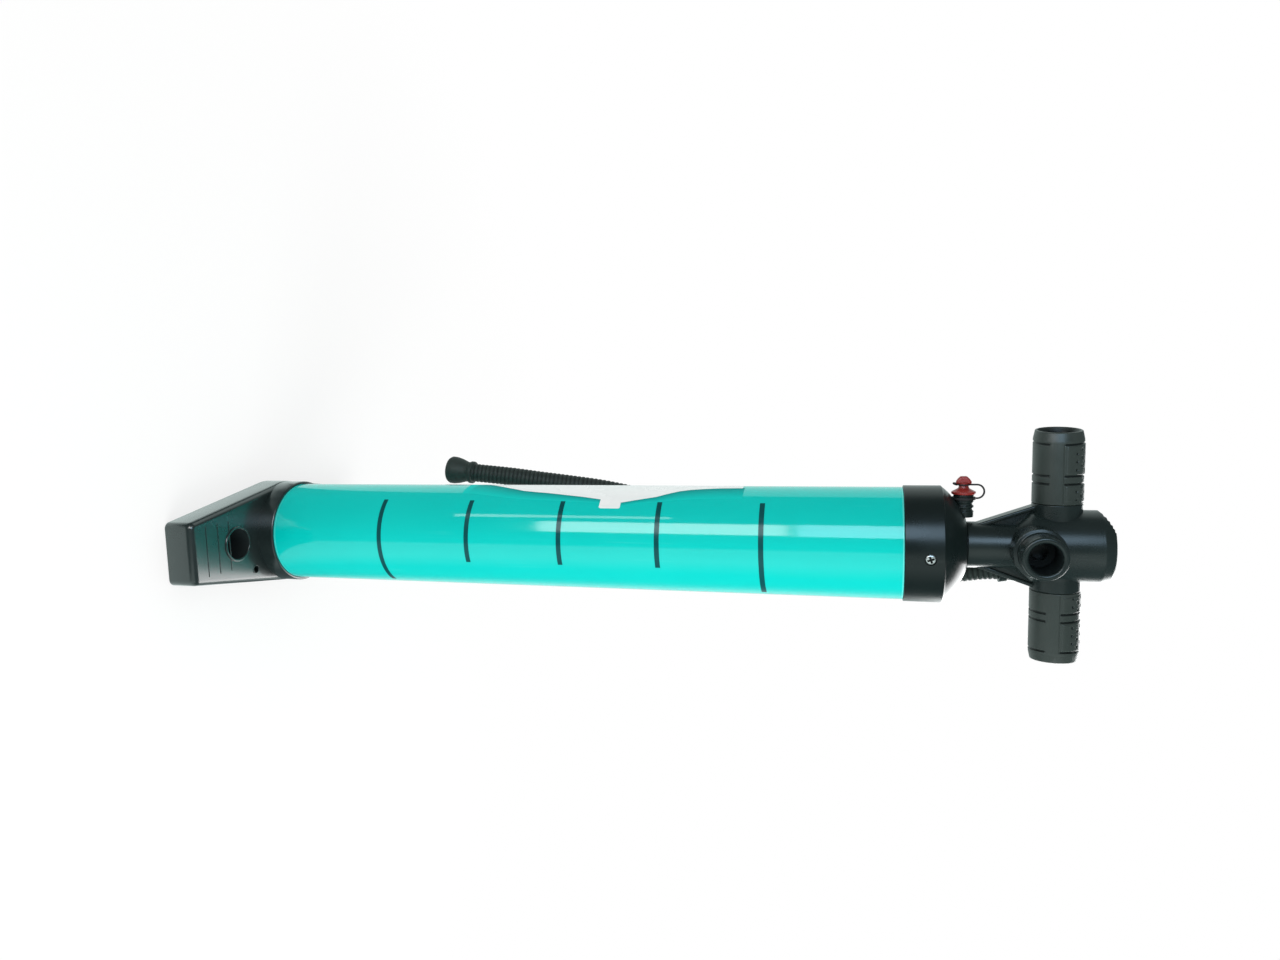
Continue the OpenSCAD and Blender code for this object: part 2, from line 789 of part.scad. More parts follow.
module grip_right() {
    color([0.08, 0.08, 0.085]) translate([sleeve_in, 0, grip_z]) rotate([0, 90, 0]) grip_sleeve();
}

// Hose

module elbow_seal() {
    color([0.1, 0.1, 0.1]) translate([0, 0, outlet_z]) outward(180 - drop_az)
        translate([0, 0, seal_at]) o_ring(elbow_r - seal_r + fit_gap / 2, seal_r);
}

module hose_elbow() {
    bore = elbow_r - elbow_wall - fit_gap;
    color([0.06, 0.06, 0.06])
    difference() {
        union() {
            translate([0, 0, outlet_z]) outward(180 - drop_az) rotate_extrude()
                polygon([
                    [0, elbow_in], [elbow_r, elbow_in], [elbow_r, boss_end], [boss_r, boss_end],
                    [boss_r, boss_end + flange_t], [elbow_r, boss_end + flange_t],
                    [elbow_r, drop_r], [0, drop_r]
                ]);
            translate([drop_x, drop_y, outlet_z]) sphere(r = elbow_r + knuckle);
            translate([drop_x, drop_y, mouth_z]) cylinder(r = elbow_r, h = outlet_z - mouth_z);
        }
        translate([0, 0, outlet_z]) outward(180 - drop_az) {
            cylinder(r = bore, h = drop_r + bore / 2);
            translate([0, 0, seal_at - seal_r - fit_gap])
                tube(elbow_r + through, elbow_r - 2 * seal_r, 2 * (seal_r + fit_gap));
        }
        translate([drop_x, drop_y, mouth_z - through])
            cylinder(r = bore - knuckle, h = outlet_z - mouth_z + through);
    }
}

// Directions across the hose at each point, square to its run
function hose_run(i) =
    let (n = len(hose_points), a = hose_points[max(i - 1, 0)], b = hose_points[min(i + 1, n - 1)])
    i == 0 ? [0, 0, -1] : i == n - 1 ? [-sin(cuff_tilt), 0, -cos(cuff_tilt)] : (b - a) / norm(b - a);

function hose_ring(i) =
    let (t = hose_run(i), u = cross([0, 1, 0], t) / norm(cross([0, 1, 0], t)), v = cross(t, u))
    [for (k = [0 : hose_sides - 1])
        let (a = k * 360 / hose_sides)
        hose_mouth + hose_points[i] + hose_d / 2 * (cos(a) * u + sin(a) * v)];

module hose() {
    n = len(hose_points);
    m = hose_sides;
    points = [for (i = [0 : n - 1]) each hose_ring(i)];
    sides = [for (i = [0 : n - 2], k = [0 : m - 1])
        [i * m + k, i * m + (k + 1) % m, (i + 1) * m + (k + 1) % m, (i + 1) * m + k]];
    ends = [[for (k = [m - 1 : -1 : 0]) k], [for (k = [0 : m - 1]) (n - 1) * m + k]];
    color([0.06, 0.06, 0.06]) polyhedron(points, concat(sides, ends), convexity = 6);
}

// Bell-mouthed cuff on the hose's free end, drawn along Z from the hose outwards
module hose_cuff() {
    mouth_r = cuff_d / 2;
    color([0.06, 0.06, 0.06])
    translate(hose_tip) rotate([180, cuff_tilt, 0])
    difference() {
        rotate_extrude()
            polygon([
                [0, 0], [cuff_neck_r, 0], [cuff_neck_r + cuff_bead, cuff_bead],
                [cuff_neck_r + cuff_bead, cuff_collar_h - cuff_bead], [cuff_neck_r, cuff_collar_h],
                [cuff_neck_r, 2 * cuff_collar_h], [mouth_r - cuff_bead, cuff_len - 2 * cuff_bulge],
                [mouth_r, cuff_len - cuff_bulge], [mouth_r, cuff_len - cuff_lip],
                [mouth_r - cuff_lip, cuff_len], [0, cuff_len]
            ]);
        translate([0, 0, -through]) cylinder(r = cuff_throat_r, h = cuff_len);
        translate([0, 0, cuff_len - cuff_mouth_depth]) cylinder(d = cuff_bore, h = cuff_len);
    }
}

foot_base();
base_gasket();
end_bumper();
barrel();
top_cap();
cap_gasket();
cap_screws();
rod_bush();
rod_seal();
vent_stub();
plug_tether();
vent_plug();
piston_head();
piston_cover();
piston_screws();
lower_cup();
upper_cup();
suction_flap();
delivery_flap();
rod_collar();
rod();
delivery_tube();
handle_body();
hub_partition();
hub_cap();
grip_left();
grip_right();
elbow_seal();
hose_elbow();
hose();
hose_cuff();
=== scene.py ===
import math

import bmesh
import bpy
from mathutils import Matrix, Vector


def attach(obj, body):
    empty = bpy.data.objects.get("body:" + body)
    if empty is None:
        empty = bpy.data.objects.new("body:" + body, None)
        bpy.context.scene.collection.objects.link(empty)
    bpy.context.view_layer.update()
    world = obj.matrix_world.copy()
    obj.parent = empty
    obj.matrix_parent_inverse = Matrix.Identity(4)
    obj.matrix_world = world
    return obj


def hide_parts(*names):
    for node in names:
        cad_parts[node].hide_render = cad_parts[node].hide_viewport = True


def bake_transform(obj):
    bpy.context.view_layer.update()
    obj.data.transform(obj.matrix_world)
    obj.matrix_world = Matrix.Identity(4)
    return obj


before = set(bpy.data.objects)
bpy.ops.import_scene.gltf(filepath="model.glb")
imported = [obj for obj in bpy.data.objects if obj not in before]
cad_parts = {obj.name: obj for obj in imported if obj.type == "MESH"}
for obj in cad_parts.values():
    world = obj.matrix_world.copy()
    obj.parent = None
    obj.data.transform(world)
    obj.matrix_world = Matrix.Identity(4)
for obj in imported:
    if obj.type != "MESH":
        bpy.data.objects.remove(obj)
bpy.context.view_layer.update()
print("frame loaded:", len(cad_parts), "nodes")

unit = 0.001  # settings are in millimetres, meshes in metres
scene = bpy.context.scene
flat = Matrix.Identity(4)
sideways = Matrix(((1, 0, 0, 0), (0, 0, 1, 0), (0, 1, 0, 0), (0, 0, 0, 1)))  # an outline in X and Z, thick along Y
upwards = (0, 0, 1)
sides = (-1, 1)

# Camera, as in the photograph: the pump's foot is on the left and its handle on the right
photoCamera = {
    "place": (-0.1022, -0.54718, 0.44121),
    "right": (0.02619, 0.25448, 0.96672),
    "forward": (0.11100, 0.96034, -0.25580),
    "sensor": 36.0, "lens": 23.906, "nearest": 0.01,
}


def placed(origin, across, other, up):
    turn = Matrix((across, other, up)).transposed().to_4x4()
    return Matrix.Translation(Vector(origin)) @ turn


def linkObject(name, data):
    made = bpy.data.objects.new(name, data)
    scene.collection.objects.link(made)
    return made


def makeCamera(settings):
    data = bpy.data.cameras.new("photoCamera")
    data.sensor_fit = "HORIZONTAL"
    data.sensor_width = settings["sensor"]
    data.lens = settings["lens"]
    data.clip_start = settings["nearest"]
    data.dof.use_dof = False
    camera = linkObject("photoCamera", data)
    forward = Vector(settings["forward"]).normalized()
    right = Vector(settings["right"])
    right = (right - right.dot(forward) * forward).normalized()
    camera.matrix_world = placed(settings["place"], right, right.cross(forward), -forward)
    scene.camera = camera


makeCamera(photoCamera)
print("camera ready")

# Shared mesh tools
meshSettings = {
    "sideShare": 0.48,  # most of a side that one fillet takes
    "holdBack": 1.12,  # holding points just outside a fillet
    "least": 0.0005, "straight": 0.01, "tightest": 0.2,  # smallest radius or side, bend and corner
    "merge": 0.000002, "sharp": 38, "sharpCut": 30, "patchRoot": -0.03,
}


def axisFrame(origin, direction, side=None):
    up = Vector(direction).normalized()
    if side is None:
        side = Vector((1, 0, 0)) if abs(up.x) < 0.9 else Vector((0, 1, 0))
    across = (Vector(side) - Vector(side).dot(up) * up).normalized()
    return placed(origin, across, up.cross(across), up)


def roundedPath(corners, closed=False, steps=6):
    count = len(corners)
    points = []
    for i, corner in enumerate(corners):
        here = Vector(corner[:2])
        fillet = corner[2] if len(corner) > 2 else 0
        inner = closed or 0 < i < count - 1
        before = Vector(corners[i - 1][:2]) - here
        after = Vector(corners[(i + 1) % count][:2]) - here
        if fillet <= 0 or not inner or before.angle(after) > math.pi - meshSettings["straight"]:
            points.append(here)
            continue
        angle = before.angle(after)
        most = meshSettings["sideShare"]
        run = min(fillet / math.tan(angle / 2), most * before.length, most * after.length)
        radius = run * math.tan(angle / 2)
        before.normalize()
        after.normalize()
        centre = here + (before + after).normalized() * (radius / math.sin(angle / 2))
        first = here + before * run - centre
        last = here + after * run - centre
        bend = math.pi - angle
        points.append(here + before * (run * meshSettings["holdBack"]))
        for k in range(steps + 1):
            share = k / steps
            a = math.sin((1 - share) * bend) / math.sin(bend)
            b = math.sin(share * bend) / math.sin(bend)
            points.append(centre + first * a + last * b)
        points.append(here + after * (run * meshSettings["holdBack"]))
    return points


def cleanMesh(mesh, merge=None):
    work = bmesh.new()
    work.from_mesh(mesh)
    if merge:
        bmesh.ops.remove_doubles(work, verts=work.verts, dist=merge)
    bmesh.ops.recalc_face_normals(work, faces=work.faces)
    work.to_mesh(mesh)
    work.free()


def smoothMesh(mesh, sharpAngle):
    for polygon in mesh.polygons:
        polygon.use_smooth = True
    mesh.set_sharp_from_angle(angle=math.radians(sharpAngle))


def makeObject(name, vertices, faces, place=flat):
    mesh = bpy.data.meshes.new(name)
    mesh.from_pydata([(place @ Vector(v)) * unit for v in vertices], [], faces)
    cleanMesh(mesh, meshSettings["merge"])
    smoothMesh(mesh, meshSettings["sharp"])
    return linkObject(name, mesh)


def ringFaces(rings, closed=False):
    faces = []
    for i in range(len(rings) if closed else len(rings) - 1):
        low = rings[i]
        high = rings[(i + 1) % len(rings)]
        for k in range(len(low)):
            after = (k + 1) % len(low)
            face = list(dict.fromkeys([low[k], low[after], high[after], high[k]]))
            if len(face) > 2:
                faces.append(face)
    return faces


def evenRings(count, around):
    return [range(i * around, (i + 1) * around) for i in range(count)]


def lathe(name, path, place, segments, closed=False):
    vertices = []
    rings = []
    for radius, height in path:
        if radius < meshSettings["least"]:  # a pole
            rings.append([len(vertices)] * segments)
            vertices.append((0, 0, height))
            continue
        rings.append(range(len(vertices), len(vertices) + segments))
        for k in range(segments):
            turn = 2 * math.pi * k / segments
            vertices.append((radius * math.cos(turn), radius * math.sin(turn), height))
    return makeObject(name, vertices, ringFaces(rings, closed), place)


def turned(name, corners, place, segments, steps=6, closed=False):
    return lathe(name, roundedPath(corners, closed, steps), place, segments, closed)


def drill(name, radius, low, high, place, segments):
    return lathe(name, [(0, low), (radius, low), (radius, high), (0, high)], place, segments)


def insetOutline(outline, inset):
    moved = []
    for i, here in enumerate(outline):
        before = (here - outline[i - 1]).normalized()
        after = (outline[(i + 1) % len(outline)] - here).normalized()
        normal = Vector((-before.y - after.y, before.x + after.x))
        moved.append(here + normal * (inset / max(normal.length_squared / 2, meshSettings["tightest"])))
    return moved


def prism(name, outline, levels, place=flat):
    outline = [p for i, p in enumerate(outline) if (p - outline[i - 1]).length > meshSettings["least"]]
    if sum(outline[i - 1].cross(p) for i, p in enumerate(outline)) < 0:
        outline = outline[::-1]
    vertices = []
    for inset, height in levels:
        vertices += [(p.x, p.y, height) for p in insetOutline(outline, inset)]
    rings = evenRings(len(levels), len(outline))
    return makeObject(name, vertices, [list(rings[0])] + ringFaces(rings) + [list(rings[-1])], place)


def roundedLevels(height, ease, low=0.0, steps=4):
    levels = []
    for k in range(steps + 1):
        turn = math.pi / 2 * k / steps
        levels.append((ease * (1 - math.sin(turn)), low + ease * (1 - math.cos(turn))))
    return levels + [(inset, 2 * low + height - z) for inset, z in reversed(levels)]


def barOutline(left, right, half, fillet, steps):
    corners = [(left, -half), (right, -half), (right, half), (left, half)]
    return roundedPath([(*corner, fillet) for corner in corners], True, steps)


def sweep(name, path, radii, around):
    count = len(path)
    runs = [(path[min(i + 1, count - 1)] - path[max(i - 1, 0)]).normalized() for i in range(count)]
    across = runs[0].orthogonal().normalized()
    vertices = []
    for i in range(count):
        across = (across - across.dot(runs[i]) * runs[i]).normalized()
        other = runs[i].cross(across)
        for k in range(around):
            turn = 2 * math.pi * k / around
            vertices.append(path[i] + (across * math.cos(turn) + other * math.sin(turn)) * radii[i])
    rings = evenRings(count, around)
    return makeObject(name, vertices, [list(rings[0]), list(rings[-1])] + ringFaces(rings))


def evaluatedMesh(made):
    graph = bpy.context.evaluated_depsgraph_get()
    graph.update()
    return bpy.data.meshes.new_from_object(made.evaluated_get(graph))


def dropObject(made):
    data = made.data
    bpy.data.objects.remove(made)
    if isinstance(data, bpy.types.Mesh):
        bpy.data.meshes.remove(data)
    elif isinstance(data, bpy.types.Curve):
        bpy.data.curves.remove(data)


def carve(target, cutters, sharpAngle=meshSettings["sharpCut"]):
    for cutter in cutters:
        modifier = target.modifiers.new("carve", "BOOLEAN")
        modifier.operation = "DIFFERENCE"
        modifier.solver = "EXACT"
        modifier.object = cutter
    mesh = evaluatedMesh(target)
    target.modifiers.clear()
    old = target.data
    target.data = mesh
    bpy.data.meshes.remove(old)
    smoothMesh(mesh, sharpAngle)
    for cutter in cutters:
        dropObject(cutter)
    return target


def joined(name, parts):
    work = bmesh.new()
    for part in parts:
        work.from_mesh(part.data)
    mesh = bpy.data.meshes.new(name)
    work.to_mesh(mesh)
    work.free()
    for part in parts:
        dropObject(part)
    return linkObject(name, mesh)


def smoothRoute(points, perSpan):
    path = [Vector(p) for p in points]
    dense = []
    for i in range(len(path) - 1):
        before = path[i - 1] if i else path[0] * 2 - path[1]
        after = path[i + 2] if i + 2 < len(path) else path[-1] * 2 - path[-2]
        for k in range(perSpan):
            t = k / perSpan
            a = path[i] * 2
            b = (path[i + 1] - before) * t
            c = (before * 2 - path[i] * 5 + path[i + 1] * 4 - after) * (t * t)
            d = (path[i] * 3 - before - path[i + 1] * 3 + after) * (t * t * t)
            dense.append((a + b + c + d) * 0.5)
    return dense + [path[-1]]


def eased(value):
    value = min(max(value, 0.0), 1.0)
    return value * value * (3 - 2 * value)


def setShadeAndBlend(made, valueAt):
    layer = made.data.attributes.new("fade", "FLOAT", "POINT")
    for i, vertex in enumerate(made.data.vertices):
        layer.data[i].value = valueAt(vertex.co / unit)


# Node helpers

def setSocket(tree, socket, value):
    if isinstance(value, bpy.types.NodeSocket):
        tree.links.new(value, socket)
    else:
        socket.default_value = value


def addNode(tree, kind, options=None, **values):
    node = tree.nodes.new(kind)
    for name, value in (options or {}).items():
        setattr(node, name, value)
    for name, value in values.items():
        setSocket(tree, node.inputs[name.replace("_", " ")], value)
    return node.outputs


def operate(tree, kind, operation, values):
    node = tree.nodes.new(kind)
    node.operation = operation
    for socket, value in zip(node.inputs, values):
        setSocket(tree, socket, value)
    return node.outputs


def mathNode(tree, operation, *values):
    return operate(tree, "ShaderNodeMath", operation, values)[0]


def vectorNode(tree, operation, *values):
    result = "Value" if operation in ("DOT_PRODUCT", "LENGTH", "DISTANCE") else "Vector"
    return operate(tree, "ShaderNodeVectorMath", operation, values)[result]


def noiseNode(tree, place, scale, detail):
    return addNode(tree, "ShaderNodeTexNoise", Vector=place, Scale=scale, Detail=detail)["Fac"]


def rampNode(tree, value, span, options=None, **more):
    low, high = span
    return addNode(tree, "ShaderNodeMapRange", options, Value=value, From_Min=low, From_Max=high, **more)["Result"]


def mixColour(tree, factor, first, second):
    node = tree.nodes.new("ShaderNodeMix")
    node.data_type = "RGBA"
    setSocket(tree, node.inputs[0], factor)
    for socket, value in ((node.inputs[6], first), (node.inputs[7], second)):
        setSocket(tree, socket, (*value, 1.0) if isinstance(value, tuple) else value)
    return node.outputs[2]


def mixShader(tree, factor, first, second):
    mix = tree.nodes.new("ShaderNodeMixShader")
    for socket, value in zip(mix.inputs, (factor, first, second)):
        tree.links.new(value, socket)
    return mix.outputs[0]


def newTree(name, kind, inputs, outputs):
    tree = bpy.data.node_groups.new(name, kind)
    for direction, sockets in (("INPUT", inputs), ("OUTPUT", outputs)):
        for label, (socketKind, *value) in sockets.items():
            made = tree.interface.new_socket(name=label, in_out=direction, socket_type="NodeSocket" + socketKind)
            if value:
                made.default_value = value[0]
    return tree, tree.nodes.new("NodeGroupInput").outputs, tree.nodes.new("NodeGroupOutput").inputs


def shapeTree(name, inputs):
    sockets = {"Geometry": ("Geometry",), **inputs, "Material": ("Material",)}
    return newTree(name, "GeometryNodeTree", sockets, {"Geometry": ("Geometry",)})


def finishTree(tree, given, leave, shape):
    real = addNode(tree, "GeometryNodeRealizeInstances", Geometry=shape)["Geometry"]
    coat = addNode(tree, "GeometryNodeSetMaterial", Geometry=real, Material=given["Material"])["Geometry"]
    tree.links.new(coat, leave["Geometry"])
    return tree


# Shader groups that several materials share
surfaceSettings = {
    "grainDetail": 3.0, "smudgeDetail": 5.0, "smudgeSpan": (0.3, 0.7), "grainShare": 0.06,
    "lineDetail": 2.0, "lineSpan": (0.62, 0.74), "patchScale": 22.0, "patchDetail": 2.0, "patchSpan": (0.48, 0.7),
    "scuffRough": 0.25, "bumpDistance": 0.0004, "highlightBandCore": 0.4,
}


def mouldedGroup(settings):
    group, given, leave = newTree("mouldedSurface", "ShaderNodeTree", {
        "Vector": ("Vector",), "Grain Scale": ("Float", 900.0), "Smudge Scale": ("Float", 28.0),
        "Rough Low": ("Float", 0.2), "Rough High": ("Float", 0.35),
    }, {"Tone": ("Float",), "Roughness": ("Float",), "Height": ("Float",)})
    grain = noiseNode(group, given["Vector"], given["Grain Scale"], settings["grainDetail"])
    smudge = noiseNode(group, given["Vector"], given["Smudge Scale"], settings["smudgeDetail"])
    spread = rampNode(group, smudge, settings["smudgeSpan"], To_Min=given["Rough Low"], To_Max=given["Rough High"])
    rough = mathNode(group, "ADD", spread, mathNode(group, "MULTIPLY", grain, settings["grainShare"]))
    for name, socket in (("Tone", smudge), ("Roughness", rough), ("Height", grain)):
        group.links.new(socket, leave[name])
    return group


def scuffGroup(settings):
    group, given, leave = newTree("handlingScuffs", "ShaderNodeTree", {
        "Vector": ("Vector",), "Stretch": ("Vector", (260.0, 260.0, 14.0)), "Amount": ("Float", 0.3),
    }, {"Mask": ("Float",)})
    stretched = vectorNode(group, "MULTIPLY", given["Vector"], given["Stretch"])
    thin = rampNode(group, noiseNode(group, stretched, 1.0, settings["lineDetail"]), settings["lineSpan"])
    patches = noiseNode(group, given["Vector"], settings["patchScale"], settings["patchDetail"])
    both = mathNode(group, "MULTIPLY", thin, rampNode(group, patches, settings["patchSpan"]))
    group.links.new(mathNode(group, "MULTIPLY", both, given["Amount"]), leave["Mask"])
    return group


moulded = mouldedGroup(surfaceSettings)
scuffs = scuffGroup(surfaceSettings)


# Painted highlight: mixes pale rings into the tone at the given heights.
def paintedHighlightBands(tree, place, tone, highlightBands):
    height = addNode(tree, "ShaderNodeSeparateXYZ", Vector=place)["Z"]
    for level, half, colour in highlightBands:
        away = mathNode(tree, "ABSOLUTE", mathNode(tree, "SUBTRACT", height, level * unit))
        span = (half * unit, surfaceSettings["highlightBandCore"] * half * unit)
        tone = mixColour(tree, rampNode(tree, away, span), tone, colour)
    return tone


def newMaterial(name):
    material = bpy.data.materials.new(name)
    material.use_nodes = True
    tree = material.node_tree
    place = tree.nodes.new("ShaderNodeTexCoord").outputs["Object"]
    return material, tree, tree.nodes["Principled BSDF"], place


def makeMaterial(name, look):
    material, tree, shader, place = newMaterial(name)
    low, high = look["rough"]
    surface = addNode(tree, "ShaderNodeGroup", {"node_tree": moulded}, Vector=place, Grain_Scale=look["grainScale"],
                      Smudge_Scale=look["smudgeScale"], Rough_Low=low, Rough_High=high)
    mask = addNode(tree, "ShaderNodeGroup", {"node_tree": scuffs}, Vector=place, Stretch=look["stretch"],
                   Amount=look["scuff"])["Mask"]
    tone = mixColour(tree, surface["Tone"], look["dark"], look["light"])
    if "highlightBands" in look:
        tone = paintedHighlightBands(tree, place, tone, look["highlightBands"])
    # The 'fade' attribute blends the tone towards a second colour: painted shade in the recesses of the grips, hose
    # and screws, and a lightening into the barrel's teal on the label border.
    if "shadeAndBlendTo" in look:
        fade = addNode(tree, "ShaderNodeAttribute", {"attribute_name": "fade"})["Fac"]
        tone = mixColour(tree, fade, tone, look["shadeAndBlendTo"])
    bump = addNode(tree, "ShaderNodeBump", Strength=look["bump"], Distance=surfaceSettings["bumpDistance"],
                   Height=surface["Height"])
    values = {
        "Base Color": mixColour(tree, mask, tone, look["worn"]),
        "Roughness": mathNode(tree, "MULTIPLY_ADD", mask, surfaceSettings["scuffRough"], surface["Roughness"]),
        "Normal": bump["Normal"], "Metallic": look.get("metallic", 0.0),
        "Specular IOR Level": look.get("specular", 0.5),
    }
    if "coat" in look:
        values.update({"Coat Weight": look["coat"], "Coat Roughness": look.get("coatRough", 0.06)})
    for socketName, value in values.items():
        setSocket(tree, shader.inputs[socketName], value)
    return material


blackLook = {
    "rough": (0.20, 0.30), "grainScale": 1500.0, "smudgeScale": 32.0, "bump": 0.035,
    "stretch": (160.0, 160.0, 30.0), "scuff": 0.22,
}
looks = {
    "blackMoulded": {
        **blackLook, "dark": (0.0080, 0.0150, 0.0148), "light": (0.0130, 0.0220, 0.0215), "worn": (0.07, 0.08, 0.078),
        "specular": 0.42,
    },
    # A darker copy of the moulded black, used for the cap: painted shade on the cap's skirt and dome.
    "blackCapShaded": {
        **blackLook, "dark": (0.0035, 0.0085, 0.0085), "light": (0.0060, 0.0120, 0.0118), "worn": (0.06, 0.07, 0.068),
        "specular": 0.36,
    },
    "blackGloss": {
        "dark": (0.0075, 0.0150, 0.0148), "light": (0.0120, 0.0215, 0.0210), "worn": (0.07, 0.08, 0.078),
        "rough": (0.22, 0.32), "grainScale": 1100.0, "smudgeScale": 26.0, "bump": 0.018,
        "stretch": (150.0, 30.0, 150.0), "scuff": 0.25, "specular": 0.5, "coat": 0.9, "coatRough": 0.18,
    },
    # The blend colour below is painted shade for the grip's bore, dimples, grooves and seam.
    "gripPlastic": {
        "dark": (0.0240, 0.0350, 0.0320), "light": (0.0360, 0.0480, 0.0440), "worn": (0.10, 0.115, 0.11),
        "rough": (0.28, 0.40), "grainScale": 1900.0, "smudgeScale": 40.0, "bump": 0.06,
        "stretch": (40.0, 220.0, 220.0), "scuff": 0.22, "specular": 0.42, "shadeAndBlendTo": (0.004, 0.007, 0.007),
    },
    # The blend colour below is painted shade in the hose's rib valleys.
    "hosePlastic": {
        "dark": (0.0200, 0.0320, 0.0290), "light": (0.0310, 0.0450, 0.0410), "worn": (0.08, 0.095, 0.09),
        "rough": (0.46, 0.58), "grainScale": 1600.0, "smudgeScale": 45.0, "bump": 0.05,
        "stretch": (120.0, 120.0, 120.0), "scuff": 0.18, "specular": 0.22, "shadeAndBlendTo": (0.002, 0.004, 0.004),
    },
    "tealBarrel": {
        "dark": (0.0006, 0.5450, 0.4950), "light": (0.0010, 0.5950, 0.5350), "worn": (0.16, 0.74, 0.69),
        "rough": (0.045, 0.08), "grainScale": 420.0, "smudgeScale": 16.0, "bump": 0.006,
        "stretch": (240.0, 240.0, 9.0), "scuff": 0.14, "specular": 0.42, "coat": 0.30,
        # Pale teal rings at the barrel's ends, beside the collar and the cap: painted highlight.
        "highlightBands": [(33.6, 0.7, (0.05, 0.66, 0.60)), (463.5, 0.7, (0.10, 0.72, 0.67))],
    },
    "redPlug": {
        "dark": (0.21, 0.014, 0.011), "light": (0.31, 0.028, 0.023), "worn": (0.56, 0.17, 0.15),
        "rough": (0.26, 0.38), "grainScale": 1500.0, "smudgeScale": 120.0, "bump": 0.04,
        "stretch": (400.0, 200.0, 200.0), "scuff": 0.3,
    },
    # The blend colour below is painted shade in the screw slots.
    "screwSteel": {
        "dark": (0.60, 0.62, 0.61), "light": (0.80, 0.82, 0.81), "worn": (0.88, 0.89, 0.88),
        "rough": (0.20, 0.32), "grainScale": 2600.0, "smudgeScale": 300.0, "bump": 0.05,
        "stretch": (900.0, 900.0, 900.0), "scuff": 0.5, "metallic": 1.0, "shadeAndBlendTo": (0.03, 0.03, 0.03),
    },
    "rodAluminium": {
        "dark": (0.62, 0.63, 0.64), "light": (0.76, 0.77, 0.78), "worn": (0.84, 0.84, 0.85),
        "rough": (0.32, 0.42), "grainScale": 700.0, "smudgeScale": 30.0, "bump": 0.02,
        "stretch": (900.0, 900.0, 5.0), "scuff": 0.3, "metallic": 1.0,
    },
    "innerPlastic": {
        "dark": (0.50, 0.50, 0.47), "light": (0.62, 0.62, 0.58), "worn": (0.72, 0.72, 0.70),
        "rough": (0.32, 0.45), "grainScale": 1200.0, "smudgeScale": 60.0, "bump": 0.05,
        "stretch": (200.0, 200.0, 40.0), "scuff": 0.3,
    },
    "sealRubber": {
        "dark": (0.010, 0.010, 0.010), "light": (0.020, 0.020, 0.020), "worn": (0.06, 0.06, 0.06),
        "rough": (0.5, 0.66), "grainScale": 1800.0, "smudgeScale": 90.0, "bump": 0.12,
        "stretch": (200.0, 200.0, 60.0), "scuff": 0.25, "specular": 0.35,
    },
    # Dark matte sleeves set inside bores and holes: painted shade.
    "boreShade": {
        "dark": (0.0100, 0.0160, 0.0170), "light": (0.0150, 0.0230, 0.0240), "worn": (0.03, 0.036, 0.036),
        "rough": (0.60, 0.74), "grainScale": 1500.0, "smudgeScale": 60.0, "bump": 0.05,
        "stretch": (200.0, 200.0, 60.0), "scuff": 0.15, "specular": 0.15,
    },
    "labelVinyl": {
        "dark": (0.84, 0.88, 0.88), "light": (0.91, 0.94, 0.94), "worn": (0.70, 0.76, 0.76),
        "rough": (0.16, 0.28), "grainScale": 900.0, "smudgeScale": 30.0, "bump": 0.02,
        "stretch": (200.0, 200.0, 20.0), "scuff": 0.25,
    },
    "labelEdge": {
        "dark": (0.002, 0.225, 0.215), "light": (0.004, 0.275, 0.260), "worn": (0.05, 0.42, 0.40),
        "rough": (0.5, 0.62), "grainScale": 420.0, "smudgeScale": 16.0, "bump": 0.006,
        "stretch": (240.0, 240.0, 9.0), "scuff": 0.14, "specular": 0.06, "shadeAndBlendTo": (0.0015, 0.585, 0.528),
    },
    "printedInk": {
        "dark": (0.0006, 0.0620, 0.0680), "light": (0.0010, 0.0800, 0.0840), "worn": (0.01, 0.22, 0.21),
        "rough": (0.12, 0.22), "grainScale": 800.0, "smudgeScale": 50.0, "bump": 0.02,
        "stretch": (240.0, 240.0, 60.0), "scuff": 0.35, "specular": 0.25,
    },
}
materials = {name: makeMaterial(name, look) for name, look in looks.items()}
print("materials ready:", len(materials))


def settle(piece, material, body, slot, *nodes):
    piece.data.materials.clear()
    piece.data.materials.append(materials[material])
    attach(piece, body)
    if nodes:
        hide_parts(*nodes)
    return piece


def shapedByNodes(name, host, tree, values):
    modifier = host.modifiers.new("shape", "NODES")
    modifier.node_group = tree
    for item in tree.interface.items_tree:
        if item.in_out == "INPUT" and item.name in values:
            modifier[item.identifier] = values[item.name]
    mesh = evaluatedMesh(host)
    host.modifiers.clear()
    dropObject(host)
    mesh.name = name
    return linkObject(name, mesh)


# Hose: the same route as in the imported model
hoseSettings = {
    "mouth": (26.0, 52.0, 527.1),
    "route": [
        (0, 0, 0), (0.5, 0, -10), (2.5, 0, -24), (5, 0.5, -42), (6, 1, -62), (4.5, 2, -82), (1, 3, -104),
        (-4.5, 4, -127), (-11.5, 5, -151), (-21, 6, -176), (-31, 6.5, -201), (-39.5, 7, -226), (-46, 7.5, -251),
        (-51, 8, -276), (-54.5, 8, -302), (-57.5, 8, -327), (-60.5, 8, -351), (-63.4, 8, -381.3),
    ],
    "perSpan": 8, "pitch": 3.3, "crest": 7.0, "depth": 0.075, "sides": 28, "step": 0.4125,
    "valleyPower": 2.0, "valleyShade": 0.62,
}


